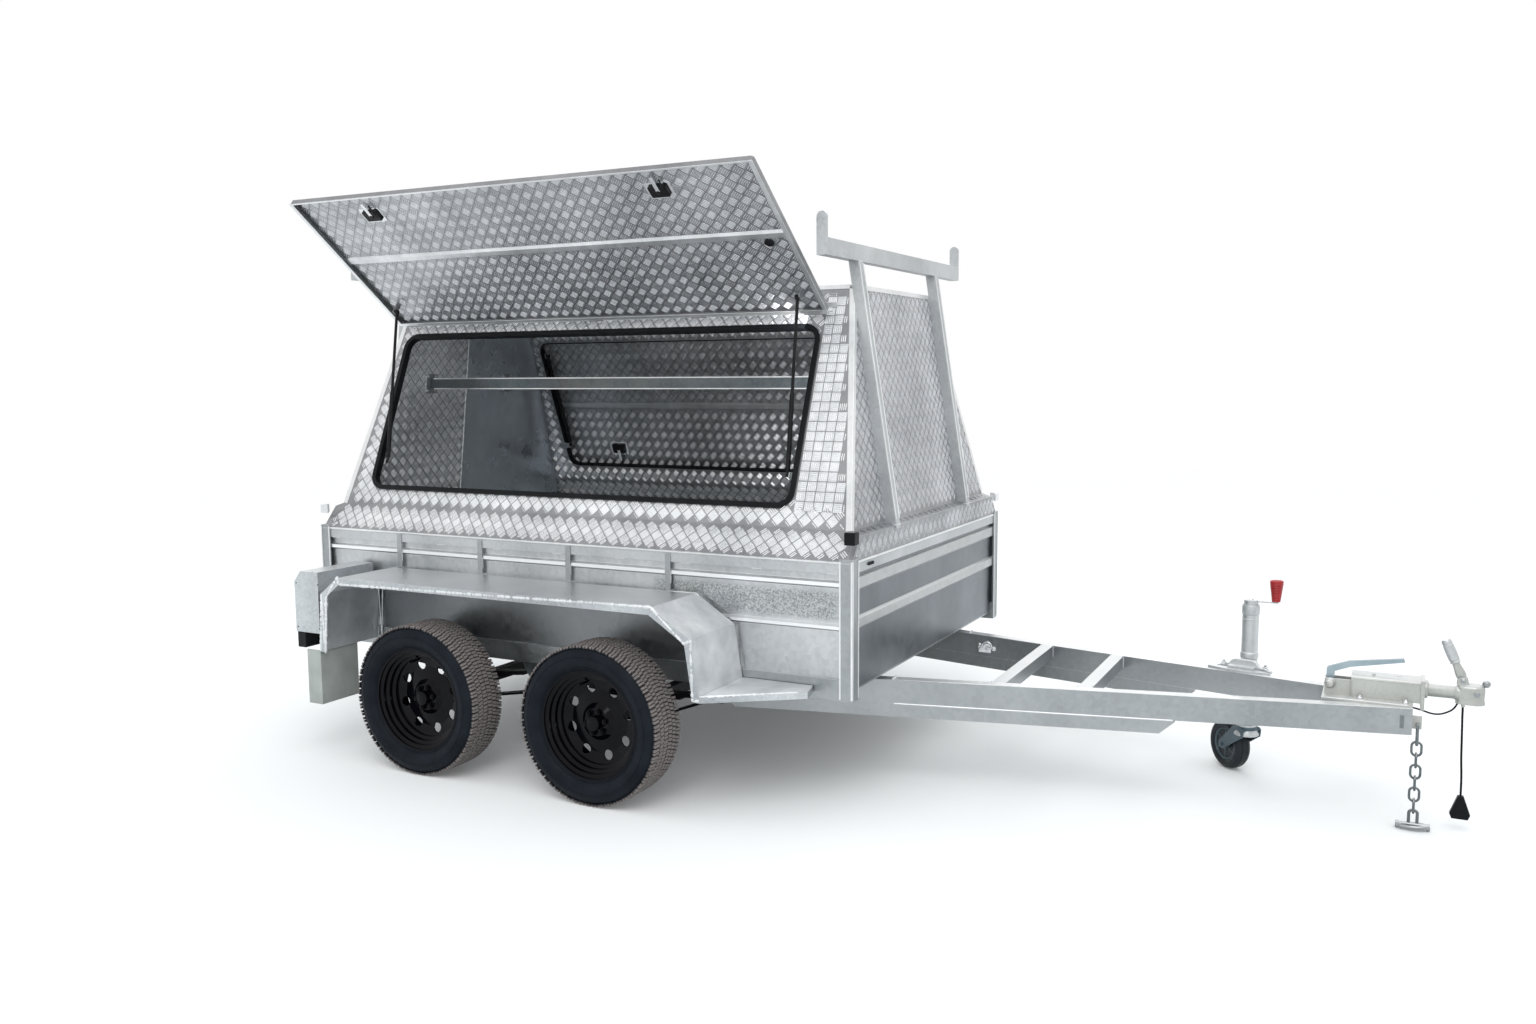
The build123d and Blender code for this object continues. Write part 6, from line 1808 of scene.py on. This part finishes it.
# Studio ------------------------------------------------------------------------------------------

FLOOR_REACH = 26.0
FLOOR_FADE = (5.0, 16.0)
FLOOR_SEEN = (0.86, 0.86, 0.86)
FLOOR_UNSEEN = (0.55, 0.56, 0.57)
FLOOR_LIFT = 0.08


def make_floor():
    """Pale floor that keeps the shadow and fades out into the white background."""
    shader = Shader("floor")
    shader.put(Roughness=0.9, Specular_IOR_Level=0.1)
    fade = shader.grade(shader.length(shader.where), 0.0, 1.0, *FLOOR_FADE)
    path = shader.seen_rays()
    shader.feed("Base Color", shader.mix(path, FLOOR_UNSEEN, FLOOR_SEEN))
    lift = shader.node("Emission", {"Strength": FLOOR_LIFT}).outputs["Emission"]
    plain = shader.surface.outputs["BSDF"]
    lit = shader.node("AddShader", links={0: plain, 1: lift}).outputs["Shader"]
    seen = shader.node("MixShader", links={0: path, 1: plain, 2: lit}).outputs["Shader"]
    clear = shader.node("BsdfTransparent").outputs["BSDF"]
    out = shader.node("MixShader", links={0: fade, 1: seen, 2: clear}).outputs["Shader"]
    target = next(n for n in shader.tree.nodes if n.type == "OUTPUT_MATERIAL")
    shader.tree.links.new(out, target.inputs["Surface"])
    r = FLOOR_REACH
    mesh = bpy.data.meshes.new("floor")
    mesh.from_pydata([(-r, -r, 0), (r, -r, 0), (r, r, 0), (-r, r, 0)], [], [(0, 1, 2, 3)])
    mesh.materials.append(shader.material)
    floor = bpy.data.objects.new("floor", mesh)
    bpy.context.scene.collection.objects.link(floor)


LAMPS = [
    ("key", (2.2, -6.2, 6.8), 4.0, 170.0, (0.0, 0.0, 0.8)),
    ("back", (-1.0, 6.0, 6.0), 4.0, 90.0, (0.0, 0.0, 0.8)),
    ("inner", (0.0, -0.38, 1.55), 0.5, 4.5, (-1.9, 0.2, 1.2)),
]
SKY = [(0.0, 0.10), (0.46, 0.16), (0.52, 0.60), (0.68, 0.85), (1.0, 1.0)]
SKY_STRENGTH = 1.45
FAR_SIDE_SHADE = 0.62
COOL = (0.94, 0.98, 1.0)


def make_sky():
    """White background for the camera; for all else a cool studio, darker low down and on the far side."""
    world = bpy.data.worlds.new("studio")
    bpy.context.scene.world = world
    world.use_nodes = True
    sky = Nodes(world.node_tree)
    join = sky.tree.links.new
    background = sky.tree.nodes["Background"]
    where = sky.node("TexCoord").outputs["Generated"]
    split = sky.node("SeparateXYZ", links={"Vector": where})
    ramp = sky.node("ValToRGB")
    while len(ramp.color_ramp.elements) < len(SKY):
        ramp.color_ramp.elements.new(0.5)
    for element, (place, shade) in zip(ramp.color_ramp.elements, SKY):
        element.position = place
        element.color = (*(shade * c for c in COOL), 1.0)
    join(sky.grade(split.outputs["Z"], 0.0, 1.0, -1.0, 1.0), ramp.inputs["Fac"])
    join(ramp.outputs["Color"], background.inputs["Color"])
    side = sky.grade(split.outputs["Y"], SKY_STRENGTH, SKY_STRENGTH * FAR_SIDE_SHADE, -0.3, 0.7)
    join(side, background.inputs["Strength"])
    white = sky.node("Background", {"Color": (1.0, 1.0, 1.0, 1.0)}).outputs["Background"]
    links = {0: sky.seen_rays(), 1: background.outputs["Background"], 2: white}
    mixed = sky.node("MixShader", links=links).outputs["Shader"]
    join(mixed, sky.tree.nodes["World Output"].inputs["Surface"])


def make_lights():
    """Area lights, each aimed at a point and unseen by the camera."""
    for name, place, size, power, aim in LAMPS:
        data = bpy.data.lights.new(name, "AREA")
        data.size = size
        data.energy = power
        lamp = bpy.data.objects.new(name, data)
        lamp.location = place
        lamp.rotation_euler = (Vector(aim) - Vector(place)).to_track_quat("-Z", "Y").to_euler()
        lamp.visible_camera = False
        bpy.context.scene.collection.objects.link(lamp)


# Making ------------------------------------------------------------------------------------------

bpy.context.scene.view_settings.view_transform = "Standard"
MATERIALS = make_materials()
make_camera()
make_lead().data.materials.append(MATERIALS["rubber"])
make_cable().data.materials.append(MATERIALS["rubber"])
dress_nodes()
make_floor()
make_sky()
make_lights()
add_tread()
make_canopy_trim()
for suffix, body in WHEELS.items():
    make_tyre(suffix, body)
    make_wheel_trim(suffix, body)

make_doors()
make_canopy_details()
make_tub_details()
make_guard_details()
make_rack_details()
make_drawbar_details()
make_coupling_details()
make_jockey_details()
make_running_gear()
make_strut_rods()
